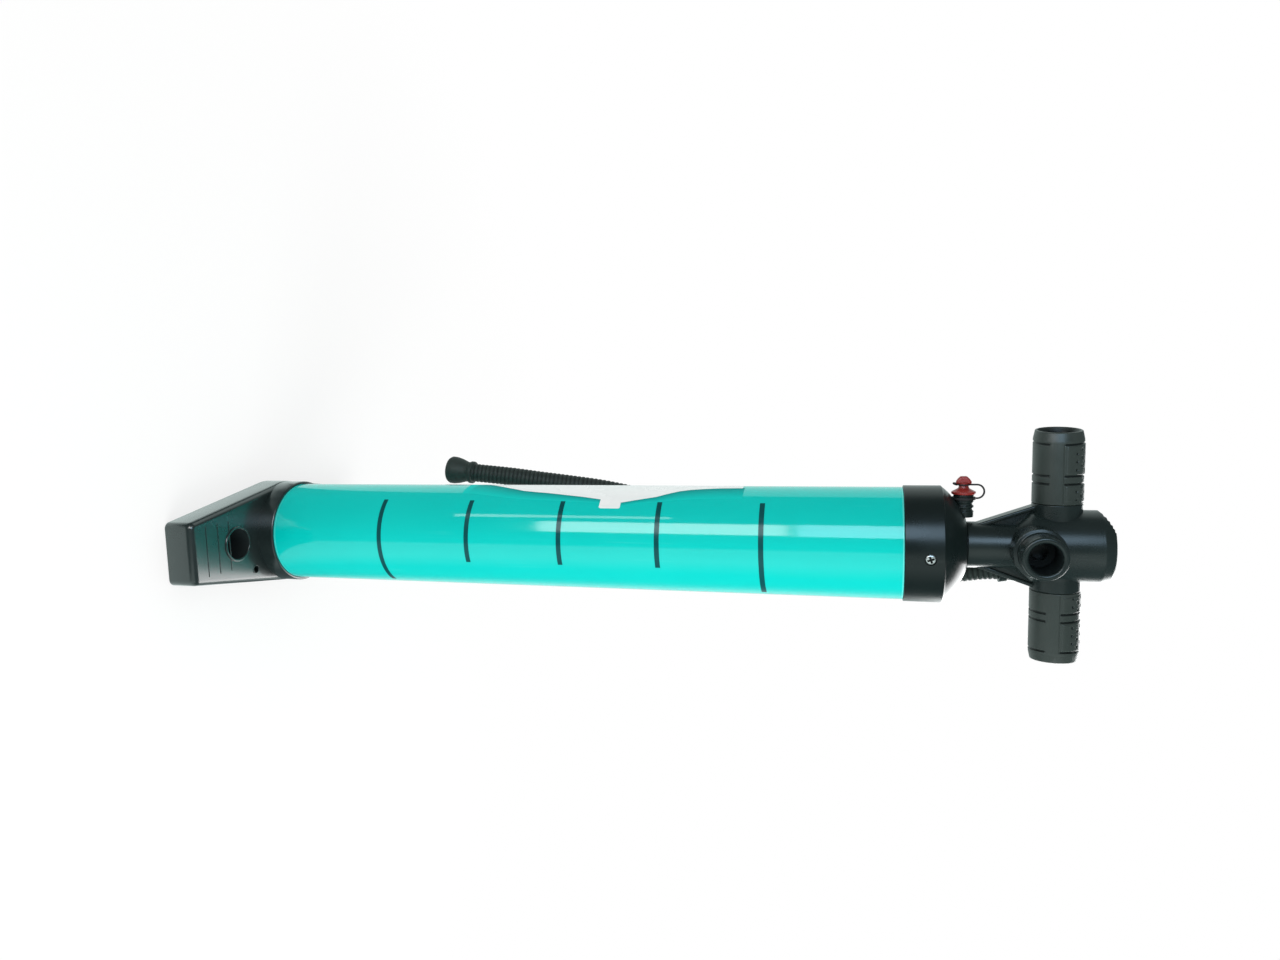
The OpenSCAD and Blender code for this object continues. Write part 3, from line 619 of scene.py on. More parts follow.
def hoseTree(settings):
    tree, given, leave = shapeTree("ribbedHose", {
        "Pitch": ("Float", 0.004), "Crest Radius": ("Float", 0.007), "Rib Depth": ("Float", 0.15),
        "Sides": ("Int", 24), "Step": ("Float", 0.0005),
    })
    dense = addNode(tree, "GeometryNodeResampleCurve", {"mode": "LENGTH"}, Curve=given["Geometry"],
                    Length=given["Step"])["Curve"]
    along = tree.nodes.new("GeometryNodeSplineParameter").outputs["Length"]
    phase = mathNode(tree, "MULTIPLY", mathNode(tree, "DIVIDE", along, given["Pitch"]), 2 * math.pi)
    wave = mathNode(tree, "MULTIPLY_ADD", mathNode(tree, "COSINE", phase), 0.5, 0.5)
    # Painted shade: the rib valleys are darkened through the 'fade' attribute.
    valley = mathNode(tree, "POWER", wave, settings["valleyPower"])
    shade = mathNode(tree, "MULTIPLY", valley, settings["valleyShade"])
    shaded = addNode(tree, "GeometryNodeStoreNamedAttribute", Geometry=dense, Name="fade", Value=shade)["Geometry"]
    scale = mathNode(tree, "SUBTRACT", 1.0, mathNode(tree, "MULTIPLY", valley, given["Rib Depth"]))
    ring = addNode(tree, "GeometryNodeCurvePrimitiveCircle", Resolution=given["Sides"], Radius=given["Crest Radius"])
    skin = addNode(tree, "GeometryNodeCurveToMesh", Curve=shaded, Profile_Curve=ring["Curve"], Scale=scale,
                   Fill_Caps=True)["Mesh"]
    return finishTree(tree, given, leave, addNode(tree, "GeometryNodeSetShadeSmooth", Geometry=skin)["Geometry"])


def makeHose(settings):
    mouth = Vector(settings["mouth"])
    route = [(mouth + Vector(p)) * unit for p in settings["route"]]
    dense = smoothRoute(route, settings["perSpan"])
    curve = bpy.data.curves.new("hoseRoute", "CURVE")
    curve.dimensions = "3D"
    spline = curve.splines.new("POLY")
    spline.points.add(len(dense) - 1)
    for point, place in zip(spline.points, dense):
        point.co = (*place, 1.0)
    values = {
        "Pitch": settings["pitch"] * unit, "Crest Radius": settings["crest"] * unit, "Rib Depth": settings["depth"],
        "Sides": settings["sides"], "Step": settings["step"] * unit, "Material": materials["hosePlastic"],
    }
    hose = shapedByNodes("hoseRibbed", linkObject("hoseRoute", curve), hoseTree(settings), values)
    cleanMesh(hose.data)
    length = sum((dense[i + 1] - dense[i]).length for i in range(len(dense) - 1))
    return hose, route, length


cuffSettings = {
    "tip": (-37.4, 60.0, 145.8), "tilt": 7.0,
    "path": [
        (5.0, 0.0, 0.2), (7.8, 0.0, 0.6), (8.6, 0.8, 0.6), (8.6, 3.0, 0.7), (7.8, 4.0, 0.6), (7.8, 6.4, 3.0),
        (9.6, 11.5, 5.0), (10.5, 16.0, 5.0), (10.5, 19.2, 1.6), (9.3, 21.0, 0.9), (8.5, 21.0, 0.5), (8.0, 20.2, 0.4),
        (8.0, 11.0, 0.3), (5.0, 11.0, 0.3),
    ],
}


def makeCuff(settings):
    tilt = math.radians(settings["tilt"])
    place = axisFrame(settings["tip"], (-math.sin(tilt), 0, -math.cos(tilt)))
    return turned("hoseCuff", settings["path"], place, segments=96, steps=7, closed=True)


cuff = settle(makeCuff(cuffSettings), "hosePlastic", "handle", "hose_plastic", "hose_cuff")
hose, hosePath, hoseLength = makeHose(hoseSettings)
settle(hose, "hosePlastic", "handle", "hose_plastic", "hose")
print("hose ready:", round(hoseLength, 4), "m")

# Foot
footSettings = {
    "length": 196.0, "tipWidth": 42.5, "tipRadius": 4.5, "midRadius": 37.3, "height": 21.0, "wall": 3.0,
    "plate": 3.0, "roofEase": 1.0, "toe": 0.8, "toeSteps": 3,
    "edge": 3.4, "edgeHold": 1.4, "edgeRise": 1.3, "edgeReach": 1.15, "edgeSteps": 8,
    "collar": [
        (0, 1.6), (15.0, 1.6, 0.5), (16.2, 0.3, 0.5), (30.0, 0.3, 0.5), (31.2, 1.6, 0.5), (35.6, 1.6, 0.4),
        (36.9, 0.4, 0.4), (36.9, 33.0, 1.0), (35.1, 33.0, 0.4), (35.1, 6.0, 0.5), (0, 6.0),
    ],
    "holeAt": 57.0, "drainAt": 46.3, "drainTurn": 27.5,
    "seatCut": (35.6, -3, 40), "holeCut": (10.8, -3, 30), "drainCut": (2.5, 10, 30), "hollowLow": -2.0,
    "sleeve": [
        (10.5, 0.4, 0.3), (12.5, 0.4, 0.4), (12.5, 19.0, 0.3), (12.2, 19.5, 0.2), (12.2, 21.9, 0.6), (10.5, 21.9, 0.5),
    ],
    "drainRim": [(2.5, 18.0, 0.1), (3.0, 18.0, 0.1), (3.4, 21.25, 0.2), (2.5, 21.25, 0.2)],
    "holeShadeSleeve": [(10.35, 0.8), (10.48, 0.8), (10.48, 20.9), (10.35, 20.9)],
    "rib": {"shares": (0.42, 0.86), "width": 2.0, "short": 2.0, "ease": 0.4, "low": 0.6},
    "tread": {
        "half": 17.0, "width": 1.1, "fillet": 0.6, "first": 85.4, "pitch": 10.4, "count": 3,
        "levels": [(0.0, -0.6), (0.0, 0.04), (0.12, 0.168), (0.36, 0.28)],
    },
}


def hullOf(points):
    ordered = sorted(points, key=lambda p: (round(p.x, 6), round(p.y, 6)))
    hull = []
    for run in (ordered, ordered[::-1]):
        chain = []
        for p in run:
            while len(chain) > 1 and (chain[-1] - chain[-2]).cross(p - chain[-2]) <= 1e-9:
                chain.pop()
            chain.append(p)
        hull += chain[:-1]
    return hull


def circlePoints(radius, count):
    turns = [2 * math.pi * k / count for k in range(count)]
    return [Vector((math.cos(turn), math.sin(turn))) * radius for turn in turns]


def footOutline(settings):
    tipX = settings["tipWidth"] / 2 - settings["tipRadius"]
    tipY = settings["length"] / 2 - settings["tipRadius"]
    corners = [Vector((sx * tipX, sy * tipY)) for sx in sides for sy in sides]
    points = [corner + ray for ray in circlePoints(settings["tipRadius"], count=48) for corner in corners]
    return hullOf(points + circlePoints(settings["midRadius"], count=160))


def footLevels(settings):
    toe, edge, top = settings["toe"], settings["edge"], settings["height"]
    levels = []
    for k in range(settings["toeSteps"] + 1):
        turn = math.pi / 2 * k / settings["toeSteps"]
        levels.append((toe * (1 - math.sin(turn)), toe * (1 - math.cos(turn))))
    levels.append((0, top - edge * settings["edgeHold"]))
    for k in range(settings["edgeSteps"] + 1):
        turn = math.pi / 2 * k / settings["edgeSteps"]
        levels.append((edge * (1 - math.cos(turn)), top - edge * settings["edgeRise"] * (1 - math.sin(turn))))
    return levels + [(edge * settings["edgeReach"], top)]


def treadTree():
    tree, given, leave = shapeTree("treadBars", {"Count": ("Int", 3), "Start": ("Vector",), "Offset": ("Vector",)})
    line = addNode(tree, "GeometryNodeMeshLine", Count=given["Count"], Start_Location=given["Start"],
                   Offset=given["Offset"])["Mesh"]
    bars = addNode(tree, "GeometryNodeInstanceOnPoints", Points=line, Instance=given["Geometry"])["Instances"]
    return finishTree(tree, given, leave, bars)


def makeTreads(settings):
    tread = settings["tread"]
    tree = treadTree()
    bar = barOutline(-tread["half"], tread["half"], tread["width"] / 2, tread["fillet"], steps=4)
    made = []
    for side in sides:
        values = {
            "Count": tread["count"], "Start": (0, side * tread["first"] * unit, settings["height"] * unit),
            "Offset": (0, -side * tread["pitch"] * unit, 0), "Material": materials["blackGloss"],
        }
        made.append(shapedByNodes("treads", prism("treadBar", bar, tread["levels"]), tree, values))
    return made


def makeFoot(settings):
    outline = footOutline(settings)
    slab = prism("footSlab", outline, footLevels(settings))
    wall, ease = settings["wall"], settings["roofEase"]
    roof = settings["height"] - settings["plate"]
    hollow = prism("footHollow", outline, [(wall, settings["hollowLow"]), (wall, roof - ease), (wall + ease, roof)])
    cutters = [hollow, drill("seatCut", *settings["seatCut"], flat, segments=160)]
    extras = []
    turn = math.radians(settings["drainTurn"])
    rib = settings["rib"]
    tipHalf = settings["tipWidth"] / 2
    for side in sides:
        hole = axisFrame((0, side * settings["holeAt"], 0), upwards)
        ray = Vector((-side * math.sin(turn), side * math.cos(turn), 0))
        drain = axisFrame(ray * settings["drainAt"], upwards)
        cutters.append(drill("holeCut", *settings["holeCut"], hole, segments=96))
        cutters.append(drill("drainCut", *settings["drainCut"], drain, segments=48))
        extras.append(turned("holeRim", settings["sleeve"], hole, segments=96, closed=True))
        extras.append(turned("drainRim", settings["drainRim"], drain, segments=48, steps=3, closed=True))
        for share in rib["shares"]:
            half = tipHalf + (settings["midRadius"] - tipHalf) * (1 - share) - rib["short"]
            bar = barOutline(-half, half, rib["width"] / 2, rib["ease"], steps=3)
            place = axisFrame((0, side * share * settings["length"] / 2, 0), upwards)
            extras.append(prism("footRib", bar, roundedLevels(roof, rib["ease"], rib["low"], steps=3), place))
    carve(slab, cutters, meshSettings["sharp"])
    extras.append(turned("footCollar", settings["collar"], flat, segments=192, steps=5))
    return joined("footBase", [slab] + extras + makeTreads(settings))


# Dark sleeves inside the foot's peg holes: painted shade.
def makeFootBoreShadeSleeves(settings):
    places = [axisFrame((0, side * settings["holeAt"], 0), upwards) for side in sides]
    boreShadeSleeves = [lathe("holeBoreShadeSleeve", settings["holeShadeSleeve"], place, segments=96, closed=True) for place in places]
    return joined("footBoreShadeSleeves", boreShadeSleeves)


foot = settle(makeFoot(footSettings), "blackGloss", "barrel", "black_plastic", "foot_base")
settle(makeFootBoreShadeSleeves(footSettings), "boreShade", "barrel", "black_plastic")
print("foot ready:", len(foot.data.polygons), "faces")

# Barrel with its printed marks and blank label
barrelSettings = {
    "path": [
        (31.5, 8.1, 0.3), (35.0, 8.1, 0.4), (35.0, 463.95, 0.35), (33.5, 463.95, 0.2), (33.5, 483.8, 0.4),
        (31.5, 483.8, 0.4),
    ],
    "radius": 35.0,
}
markSettings = {
    "levels": [
        (117.3, -51.0, 60.0), (182.9, -51.0, 22.5), (248.5, -51.0, 22.5), (314.2, -51.0, 22.5), (379.8, -51.0, 60.0),
    ],
    "width": 3.2, "rise": 0.05, "columns": 64,
}
labelSettings = {
    "edge": [
        (182.0, -95.0), (190.0, -87.7), (197.0, -81.5), (205.5, -75.5), (217.0, -69.0), (226.0, -66.6), (236.2, -64.5),
        (248.6, -61.2), (260.9, -58.2), (271.6, -55.0), (280.0, -52.5), (288.6, -50.0), (301.1, -55.0), (311.1, -59.2),
        (319.2, -65.7), (325.2, -70.5), (332.0, -74.0), (339.1, -76.3), (351.2, -79.2), (365.3, -80.2),
    ],
    "tab": [(274.0, -43.4), (274.4, -42.4), (275.2, -42.0), (287.0, -42.0), (287.8, -42.4), (288.2, -43.4)],
    "tabRoot": -58.0, "tabRise": 0.075, "tabColumns": 24,
    "back": -138.0, "backWave": 5.0, "rise": 0.06, "row": 1.2, "columns": 48,
    "border": {
        "low": 172.5, "ends": 1.4, "least": 6.0, "from": -55.0, "growth": 0.66, "rise": 0.03, "columns": 24,
        "under": 0.6, "fadePower": 0.8, "fadeBelow": 0.6,
    },
}


def wrapPatch(name, rows, rise, columns):
    vertices = []
    count = len(rows)
    for lift in (rise, meshSettings["patchRoot"]):
        r = barrelSettings["radius"] + lift
        for first, last in rows:
            for k in range(columns):
                share = k / (columns - 1)
                azimuth = math.radians(first[0] + (last[0] - first[0]) * share)
                z = first[1] + (last[1] - first[1]) * share
                vertices.append((r * math.sin(azimuth), -r * math.cos(azimuth), z))
    block = count * columns
    faces = []
    for i in range(count - 1):
        for k in range(columns - 1):
            a = i * columns + k
            face = [a, a + 1, a + columns + 1, a + columns]
            faces += [face, [block + v for v in reversed(face)]]
    border = list(range(columns))
    border += [i * columns + columns - 1 for i in range(1, count)]
    border += [(count - 1) * columns + k for k in range(columns - 2, -1, -1)]
    border += [i * columns for i in range(count - 2, 0, -1)]
    for i, a in enumerate(border):
        b = border[(i + 1) % len(border)]
        faces.append([a, b, block + b, block + a])
    return makeObject(name, vertices, faces)


def makeMarks(settings):
    parts = []
    half = settings["width"] / 2
    for z, first, last in settings["levels"]:
        rows = [((first, level), (last, level)) for level in (z - half, z + half)]
        parts.append(wrapPatch("mark", rows, settings["rise"], settings["columns"]))
    return joined("barrelMarks", parts)


def edgeAt(settings, z):
    edge = settings["edge"]
    for (low, first), (high, last) in zip(edge, edge[1:]):
        if z <= high:
            return first + (last - first) * max(z - low, 0.0) / (high - low)
    return edge[-1][1]


def rowLevels(settings, low, high):
    levels = [z for z, _ in settings["edge"] if low < z < high]
    count = int((high - low) / settings["row"])
    levels += [low + (high - low) * k / count for k in range(count + 1)]
    return sorted(set(levels))


def borderWidth(settings, z):
    border = settings["border"]
    return border["least"] + border["growth"] * max(border["from"] - edgeAt(settings, z), 0.0)


def makeLabel(settings):
    low = settings["edge"][0][0]
    high = settings["edge"][-1][0]
    rows = []
    for z in rowLevels(settings, low, high):
        wave = settings["backWave"] * math.sin(2 * math.pi * ((z - low) / (high - low)))
        rows.append(((edgeAt(settings, z), z), (settings["back"] - wave, z)))
    main = wrapPatch("labelMain", rows, settings["rise"], settings["columns"])
    rows = [((azimuth, z), (settings["tabRoot"], z)) for z, azimuth in settings["tab"]]
    tab = wrapPatch("labelTab", rows, settings["tabRise"], settings["tabColumns"])
    face = joined("barrelLabel", [main, tab])
    edge = settings["border"]
    rows = []
    for z in rowLevels(settings, edge["low"], high + edge["ends"]):
        azimuth = edgeAt(settings, z)
        rows.append(((azimuth + borderWidth(settings, z), z), (azimuth - edge["under"], z)))
    border = wrapPatch("labelBorder", rows, edge["rise"], edge["columns"])

    def fadeAt(place):
        azimuth = math.degrees(math.atan2(place.x, -place.y))
        share = (azimuth - edgeAt(settings, place.z)) / borderWidth(settings, place.z)
        below = eased((low - place.z) / (edge["fadeBelow"] * (low - edge["low"])))
        return max(min(max(share, 0.0), 1.0) ** edge["fadePower"], below)

    setShadeAndBlend(border, fadeAt)
    return face, border


tube = turned("barrelTube", barrelSettings["path"], flat, segments=256, closed=True)
settle(tube, "tealBarrel", "barrel", "teal_plastic", "barrel")
settle(makeMarks(markSettings), "printedInk", "barrel", "teal_plastic")
labelFace, labelBorder = makeLabel(labelSettings)
settle(labelFace, "labelVinyl", "barrel", "teal_plastic")
settle(labelBorder, "labelEdge", "barrel", "teal_plastic")
print("barrel ready")

# Cap with screws, vent stub, plug and tether
capSettings = {
    "skirt": [(33.6, 464.05, 0.3), (36.0, 464.05, 0.5), (36.0, 486.4, 0.9)],
    "dome": {"centre": 458.25, "radius": 45.45, "from": 35.4, "to": 17.0, "steps": 20},
    "crown": [(15.5, 500.35, 0.4), (13.1, 500.35, 0.3), (13.1, 484.0, 0.2), (33.6, 484.0, 0.3)],
    "pocket": (3.5, 0, 5), "stubSeats": [(6.05, 17.0, 60), (7.75, 27.4, 60)],
}
screwSettings = {
    "count": 3, "turn": -85.0, "seat": 34.7, "z": 478.4, "spin": 24.0,
    "head": [(0, -4.0), (1.5, -4.0), (1.5, 0.0), (3.2, 0.0, 0.1), (3.2, 0.9, 0.45), (2.5, 1.65, 0.8), (0, 1.85)],
    "slotLong": 2.1, "slotWide": 0.62, "slotLevels": [(0.25, 0.25), (0, 0.75), (0, 4.0)], "slotShade": (2.6, 1.2),
}
ventSettings = {
    "z": 499.4,
    "stub": [
        (0, 17.2), (5.85, 17.2, 0.2), (5.9, 20.6, 0.5), (5.3, 21.2, 0.3), (5.3, 22.4, 0.3), (5.9, 23.0, 0.5),
        (5.9, 23.9, 0.5), (5.3, 24.5, 0.3), (5.3, 25.6, 0.3), (5.9, 26.2, 0.5), (5.9, 31.0, 0.5), (3.3, 31.0, 0.3),
        (3.3, 19.2, 0.3), (0, 19.2),
    ],
    "plug": [
        (0, 24.1), (3.2, 24.1, 0.5), (3.2, 31.1, 0.2), (7.1, 31.1, 0.45), (7.1, 32.5, 0.55), (3.2, 34.6, 1.4),
        (2.7, 36.2, 0.8), (3.3, 37.6, 0.4), (0, 38.4),
    ],
    "headLow": 37.3, "headThick": 4.4, "headEase": 1.1,
    "head": [
        (-4.5, 0.0, 0.6), (4.5, 0.0, 0.6), (4.4, 1.6, 0.9), (3.3, 3.2, 1.4), (1.8, 4.6, 1.4), (-1.8, 4.6, 1.4),
        (-3.3, 3.2, 1.4), (-4.4, 1.6, 0.9),
    ],
    "tether": {
        "wire": 0.55, "ringX": -28.5, "ringR": 6.55, "ringHalf": 0.75, "loopX": -36.8, "loopR": 3.55, "loopHalf": 0.4,
        "inside": 0.45, "outside": 0.5, "ease": (0.2, 0.3), "top": 511.2, "rise": 1.2, "drop": 1.6, "steps": 16,
        "perSpan": 3, "tab": 6.3, "tabLean": 0.3, "tabRadii": [0.75, 0.85, 0.85, 0.5],
    },
}
ventPlace = axisFrame((0, 0, ventSettings["z"]), (-1, 0, 0))


def makeCap(settings):
    path = list(settings["skirt"])
    dome = settings["dome"]
    first = math.acos(dome["from"] / dome["radius"])
    last = math.acos(dome["to"] / dome["radius"])
    for k in range(dome["steps"] + 1):
        turn = first + (last - first) * k / dome["steps"]
        path.append((dome["radius"] * math.cos(turn), dome["centre"] + dome["radius"] * math.sin(turn)))
    body = turned("topCap", path + settings["crown"], flat, segments=224, closed=True)
    cutters = []
    for k in range(screwSettings["count"]):
        turn = math.radians(screwSettings["turn"] + 360 * k / screwSettings["count"])
        ray = Vector((math.cos(turn), math.sin(turn), 0))
        spot = axisFrame(ray * screwSettings["seat"] + Vector((0, 0, screwSettings["z"])), ray)
        cutters.append(drill("pocketCut", *settings["pocket"], spot, segments=48))
    cutters += [drill("stubCut", *seat, ventPlace, segments=64) for seat in settings["stubSeats"]]
    return carve(body, cutters)


def screwTree():
    tree, given, leave = shapeTree("screwRing", {
        "Count": ("Int", 3), "Radius": ("Float", 0.03), "Level": ("Vector",), "Turn": ("Vector",),
    })
    ring = addNode(tree, "GeometryNodeMeshCircle", Vertices=given["Count"], Radius=given["Radius"])["Mesh"]
    turned = addNode(tree, "GeometryNodeTransform", Geometry=ring, Rotation=given["Turn"])["Geometry"]
    place = tree.nodes.new("GeometryNodeInputPosition").outputs["Position"]
    facing = addNode(tree, "FunctionNodeAlignRotationToVector", {"axis": "Z"}, Vector=place)["Rotation"]
    heads = addNode(tree, "GeometryNodeInstanceOnPoints", Points=turned, Instance=given["Geometry"],
                    Rotation=facing)["Instances"]
    lifted = addNode(tree, "GeometryNodeTransform", Geometry=heads, Translation=given["Level"])["Geometry"]
    return finishTree(tree, given, leave, lifted)


def makeScrews(settings):
    head = turned("screwHead", settings["head"], flat, segments=48, steps=5)
    slots = []
    for k in range(2):
        turn = math.radians(settings["spin"] + 90 * k)
        long = Vector((math.cos(turn), math.sin(turn))) * settings["slotLong"]
        wide = Vector((-math.sin(turn), math.cos(turn))) * settings["slotWide"]
        corners = [long * a + wide * b for a, b in ((-1, -1), (1, -1), (1, 1), (-1, 1))]
        slots.append(prism("slotCut", corners, settings["slotLevels"]))
    carve(head, slots)
    # Painted shade: the slots are darkened through the 'fade' attribute.
    reach, top = settings["slotShade"]
    setShadeAndBlend(head, lambda place: 1.0 if place.length < reach and 0.0 < place.z < top else 0.0)
    values = {
        "Count": settings["count"], "Radius": settings["seat"] * unit, "Level": (0, 0, settings["z"] * unit),
        "Turn": (0, 0, math.radians(settings["turn"])), "Material": materials["screwSteel"],
    }
    return shapedByNodes("capScrews", head, screwTree(), values)


def makeTether(settings):
    tether = settings["tether"]
    z = settings["z"]
    parts = []
    for end in ("ring", "loop"):
        radius, half = tether[end + "R"], tether[end + "Half"]
        inner, outer = radius - tether["inside"], radius + tether["outside"]
        inEase, outEase = tether["ease"]
        band = [(inner, -half, inEase), (outer, -half, outEase), (outer, half, outEase), (inner, half, inEase)]
        place = axisFrame((tether[end + "X"], 0, z), (-1, 0, 0))
        parts.append(turned("tetherBand", band, place, segments=64, steps=4, closed=True))
    ring = Vector((tether["ringX"], 0, z + tether["ringR"]))
    loop = Vector((tether["loopX"], 0, z + tether["loopR"]))
    middle = (ring.x + loop.x) / 2
    reach = (ring.x - loop.x) / 2
    low = z + tether["ringR"] + tether["rise"]
    route = [ring]
    for k in range(tether["steps"] + 1):
        turn = math.pi * k / tether["steps"]
        route.append(Vector((middle + reach * math.cos(turn), 0, low + (tether["top"] - low) * math.sin(turn))))
    route += [Vector((loop.x, 0, z + tether["loopR"] + tether["drop"])), loop]
    strap = smoothRoute(route, tether["perSpan"])
    parts.append(sweep("tetherStrap", strap, [tether["wire"]] * len(strap), around=12))
    tab = []
    last = len(tether["tabRadii"]) - 1
    for k in range(last + 1):
        level = z - tether["loopR"] - (tether["tab"] - tether["loopR"]) * k / last
        tab.append(Vector((tether["loopX"] - tether["tabLean"] * k, 0, level)))
    parts.append(sweep("tetherTab", tab, tether["tabRadii"], around=12))
    return joined("plugTether", parts)


def makePlug(settings):
    stem = turned("plugStem", settings["plug"], ventPlace, segments=64, steps=5)
    thick = settings["headThick"]
    headPlace = Matrix((
        (0, -1, 0, -settings["headLow"]), (0, 0, -1, 0), (1, 0, 0, settings["z"]), (0, 0, 0, 1)))
    levels = roundedLevels(thick, settings["headEase"], -thick / 2, steps=5)
    head = prism("plugHead", roundedPath(settings["head"], closed=True, steps=5), levels, headPlace)
    return joined("ventPlug", [stem, head])


settle(makeCap(capSettings), "blackCapShaded", "barrel", "black_plastic", "top_cap")
settle(makeScrews(screwSettings), "screwSteel", "barrel", "screw_steel", "cap_screws")
stub = turned("ventStub", ventSettings["stub"], ventPlace, segments=96, steps=5)
settle(stub, "blackMoulded", "barrel", "black_plastic", "vent_stub")
settle(makePlug(ventSettings), "redPlug", "plug", "red_plastic", "vent_plug")
tetherPiece = makeTether(ventSettings)
tetherPiece.data.materials.append(materials["sealRubber"])
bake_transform(tetherPiece)
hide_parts("plug_tether")
print("cap, vent and plug ready")

# Handle
handleSettings = {
    "hub": [
        (0, 522.0), (10.1, 522.0), (10.1, 500.9, 0.3), (14.0, 500.9, 0.7), (14.0, 527.7, 5.0), (21.75, 536.9, 4.5),
        (21.75, 572.17), (0, 572.17),
    ],
    "cross": [
        (0, -23.0), (10.3, -23.0, 0.4), (10.3, -66.9, 0.2), (12.0, -66.9, 0.3), (12.0, -26.1, 0.1), (14.0, -26.1, 0.5),
        (14.0, 26.1, 0.5), (12.0, 26.1, 0.1), (12.0, 66.9, 0.3), (10.3, 66.9, 0.2), (10.3, 23.0, 0.4), (0, 23.0),
    ],
    "gripZ": 551.7, "portZ": 538.7,
    "port": [
        (0, 12.0), (5.0, 12.0), (5.0, 20.0, 0.4), (9.0, 20.0, 0.4), (9.0, 42.0, 1.5), (12.5, 42.0, 1.8),
        (12.5, 27.6, 0.7), (14.7, 27.0, 0.7), (14.7, 6.0), (0, 6.0),
    ],
    "portCut": (11.0, 11.0, 60.0),
    "portShadeSleeve": [(5.0, 20.05), (8.97, 20.05), (8.97, 41.0), (8.85, 41.2), (8.85, 20.25), (5.0, 20.25)],
    "web": [(2.0, 506.0), (13.0, 506.0, 0.5), (25.0, 539.6, 0.5), (2.0, 539.6)], "webThick": 7.0, "webEase": 0.6,
    "rim": {"wide": 10.0, "thick": 2.6, "fillet": 1.0, "from": (12.9, 505.4), "to": (25.3, 539.9)},
    "outletZ": 560.1, "outletAim": (26.0, 52.0, 0.0),
    "outlet": [(0, 8.0), (11.5, 8.0), (11.5, 39.9, 0.8), (8.3, 39.9, 0.3), (8.3, 34.0), (0, 34.0)],
    "cap": [(0, 572.2), (21.75, 572.2), (21.75, 574.0, 2.5), (20.25, 579.2, 0.9), (19.2, 580.2, 0.9), (0, 580.2)],
    "thumb": {
        "x": -3.0, "z": 553.2, "radius": 28.0, "ridge": 0.5, "pitch": 2.3, "from": 106.0, "to": 133.0, "ease": 3,
        "outer": (-45.0, 595.0), "half": 30.0, "steps": 180,
    },
}
portPlace = axisFrame((0, 0, handleSettings["portZ"]), (0, -1, 0))


def makeHandle(settings):
    def opened(piece):
        return carve(piece, [drill("portWay", *settings["portCut"], portPlace, segments=64)])

    parts = [opened(turned("hub", settings["hub"], flat, segments=192, steps=8))]
    parts.append(turned("port", settings["port"], portPlace, segments=128, steps=7))
    crossPlace = axisFrame((0, 0, settings["gripZ"]), (1, 0, 0))
    parts.append(opened(turned("crossTube", settings["cross"], crossPlace, segments=160, steps=5)))
    thick, ease = settings["webThick"], settings["webEase"]
    rim = settings["rim"]
    first = Vector(rim["from"])
    run = Vector(rim["to"]) - first
    for side in sides:
        outline = [Vector((side * p.x, p.y)) for p in roundedPath(settings["web"], closed=True, steps=4)]
        parts.append(prism("web", outline, roundedLevels(thick, ease, -thick / 2, steps=3), sideways))
        bar = barOutline(-rim["thick"], 0, rim["wide"] / 2, rim["fillet"], steps=5)
        bar = [Vector((side * p.x, p.y)) for p in bar]
        rimPlace = axisFrame((side * first.x, 0, first.y), (side * run.x, 0, run.y), (1, 0, 0))
        parts.append(prism("rim", bar, roundedLevels(run.length, ease, steps=3), rimPlace))
    aim = axisFrame((0, 0, settings["outletZ"]), settings["outletAim"])
    parts.append(turned("outlet", settings["outlet"], aim, segments=96, steps=5))
    return joined("handleBody", parts)


def makeHubCap(settings):
    cap = turned("hubCap", settings["cap"], flat, segments=192)
    thumb = settings["thumb"]
    outX, outZ = thumb["outer"]
    outline = [Vector((outX, thumb["z"])), Vector((outX, outZ)), Vector((thumb["x"], outZ))]
    for k in range(thumb["steps"] + 1):
        angle = 90 + 90 * k / thumb["steps"]
        turn = math.radians(angle)
        inside = eased((angle - thumb["from"]) / thumb["ease"]) * eased((thumb["to"] - angle) / thumb["ease"])
        wave = 0.5 + 0.5 * math.cos(2 * math.pi * (thumb["radius"] * turn) / thumb["pitch"])
        radius = thumb["radius"] - thumb["ridge"] * inside * wave
        outline.append(Vector((thumb["x"] + radius * math.cos(turn), thumb["z"] + radius * math.sin(turn))))
    return carve(cap, [prism("thumbCut", outline, [(0, -thumb["half"]), (0, thumb["half"])], sideways)])


settle(makeHandle(handleSettings), "blackMoulded", "handle", "black_plastic", "handle_body")
settle(makeHubCap(handleSettings), "blackMoulded", "handle", "black_plastic", "hub_cap")
# A dark sleeve inside the port's bore: painted shade.
portShadeSleeve = lathe("portBoreShadeSleeve", handleSettings["portShadeSleeve"], portPlace, segments=128, closed=True)
settle(portShadeSleeve, "boreShade", "handle", "black_plastic")

gripSettings = {
    "inner": 26.3, "span": 43.7, "radius": 14.0, "skin": 0.05, "seat": 12.2, "z": 551.7,
    "mouth": 10.35, "mouthFlare": 1.3, "mouthDepth": 2.6, "lip": 40.8,
    "taper": 5.2, "narrower": 1.1,
    "cutBack": 2.6, "cutFrom": 20.0, "cutEven": 0.15, "cutLean": 0.5,
    "grooves": (12.3, 17.0, 36.8), "grooveHalf": 0.75, "grooveDepth": 0.6, "grooveEdge": 1.6,
    "strip": (-28.0, 2.0), "stripEase": 4.0, "seam": (2.0, 0.35, 0.25),
    "pads": [(2.2, 11.1), (18.2, 35.6)], "padTurn": (8.0, 150.0), "padRise": 0.28, "padBow": 0.78, "padEase": 0.5,
    "padScale": 0.244,  # millimetres of skin per degree
    "dotPitch": 5.2, "dotTurns": (35.0, 52.0, 69.0, 86.0, 103.0, 120.0, 137.0), "dotRadius": 1.3, "dotDepth": 0.8,
    "dotEdge": 1.3, "dotMargin": 1.0, "dotShift": 0.25,
    # Painted shade in the grip's bore and recesses.
    "shade": {"skin": 0.12, "bore": 0.9, "deepest": 1.2, "first": 1.5, "last": 0.6, "full": 0.42},
    "around": 288, "along": 168,
}


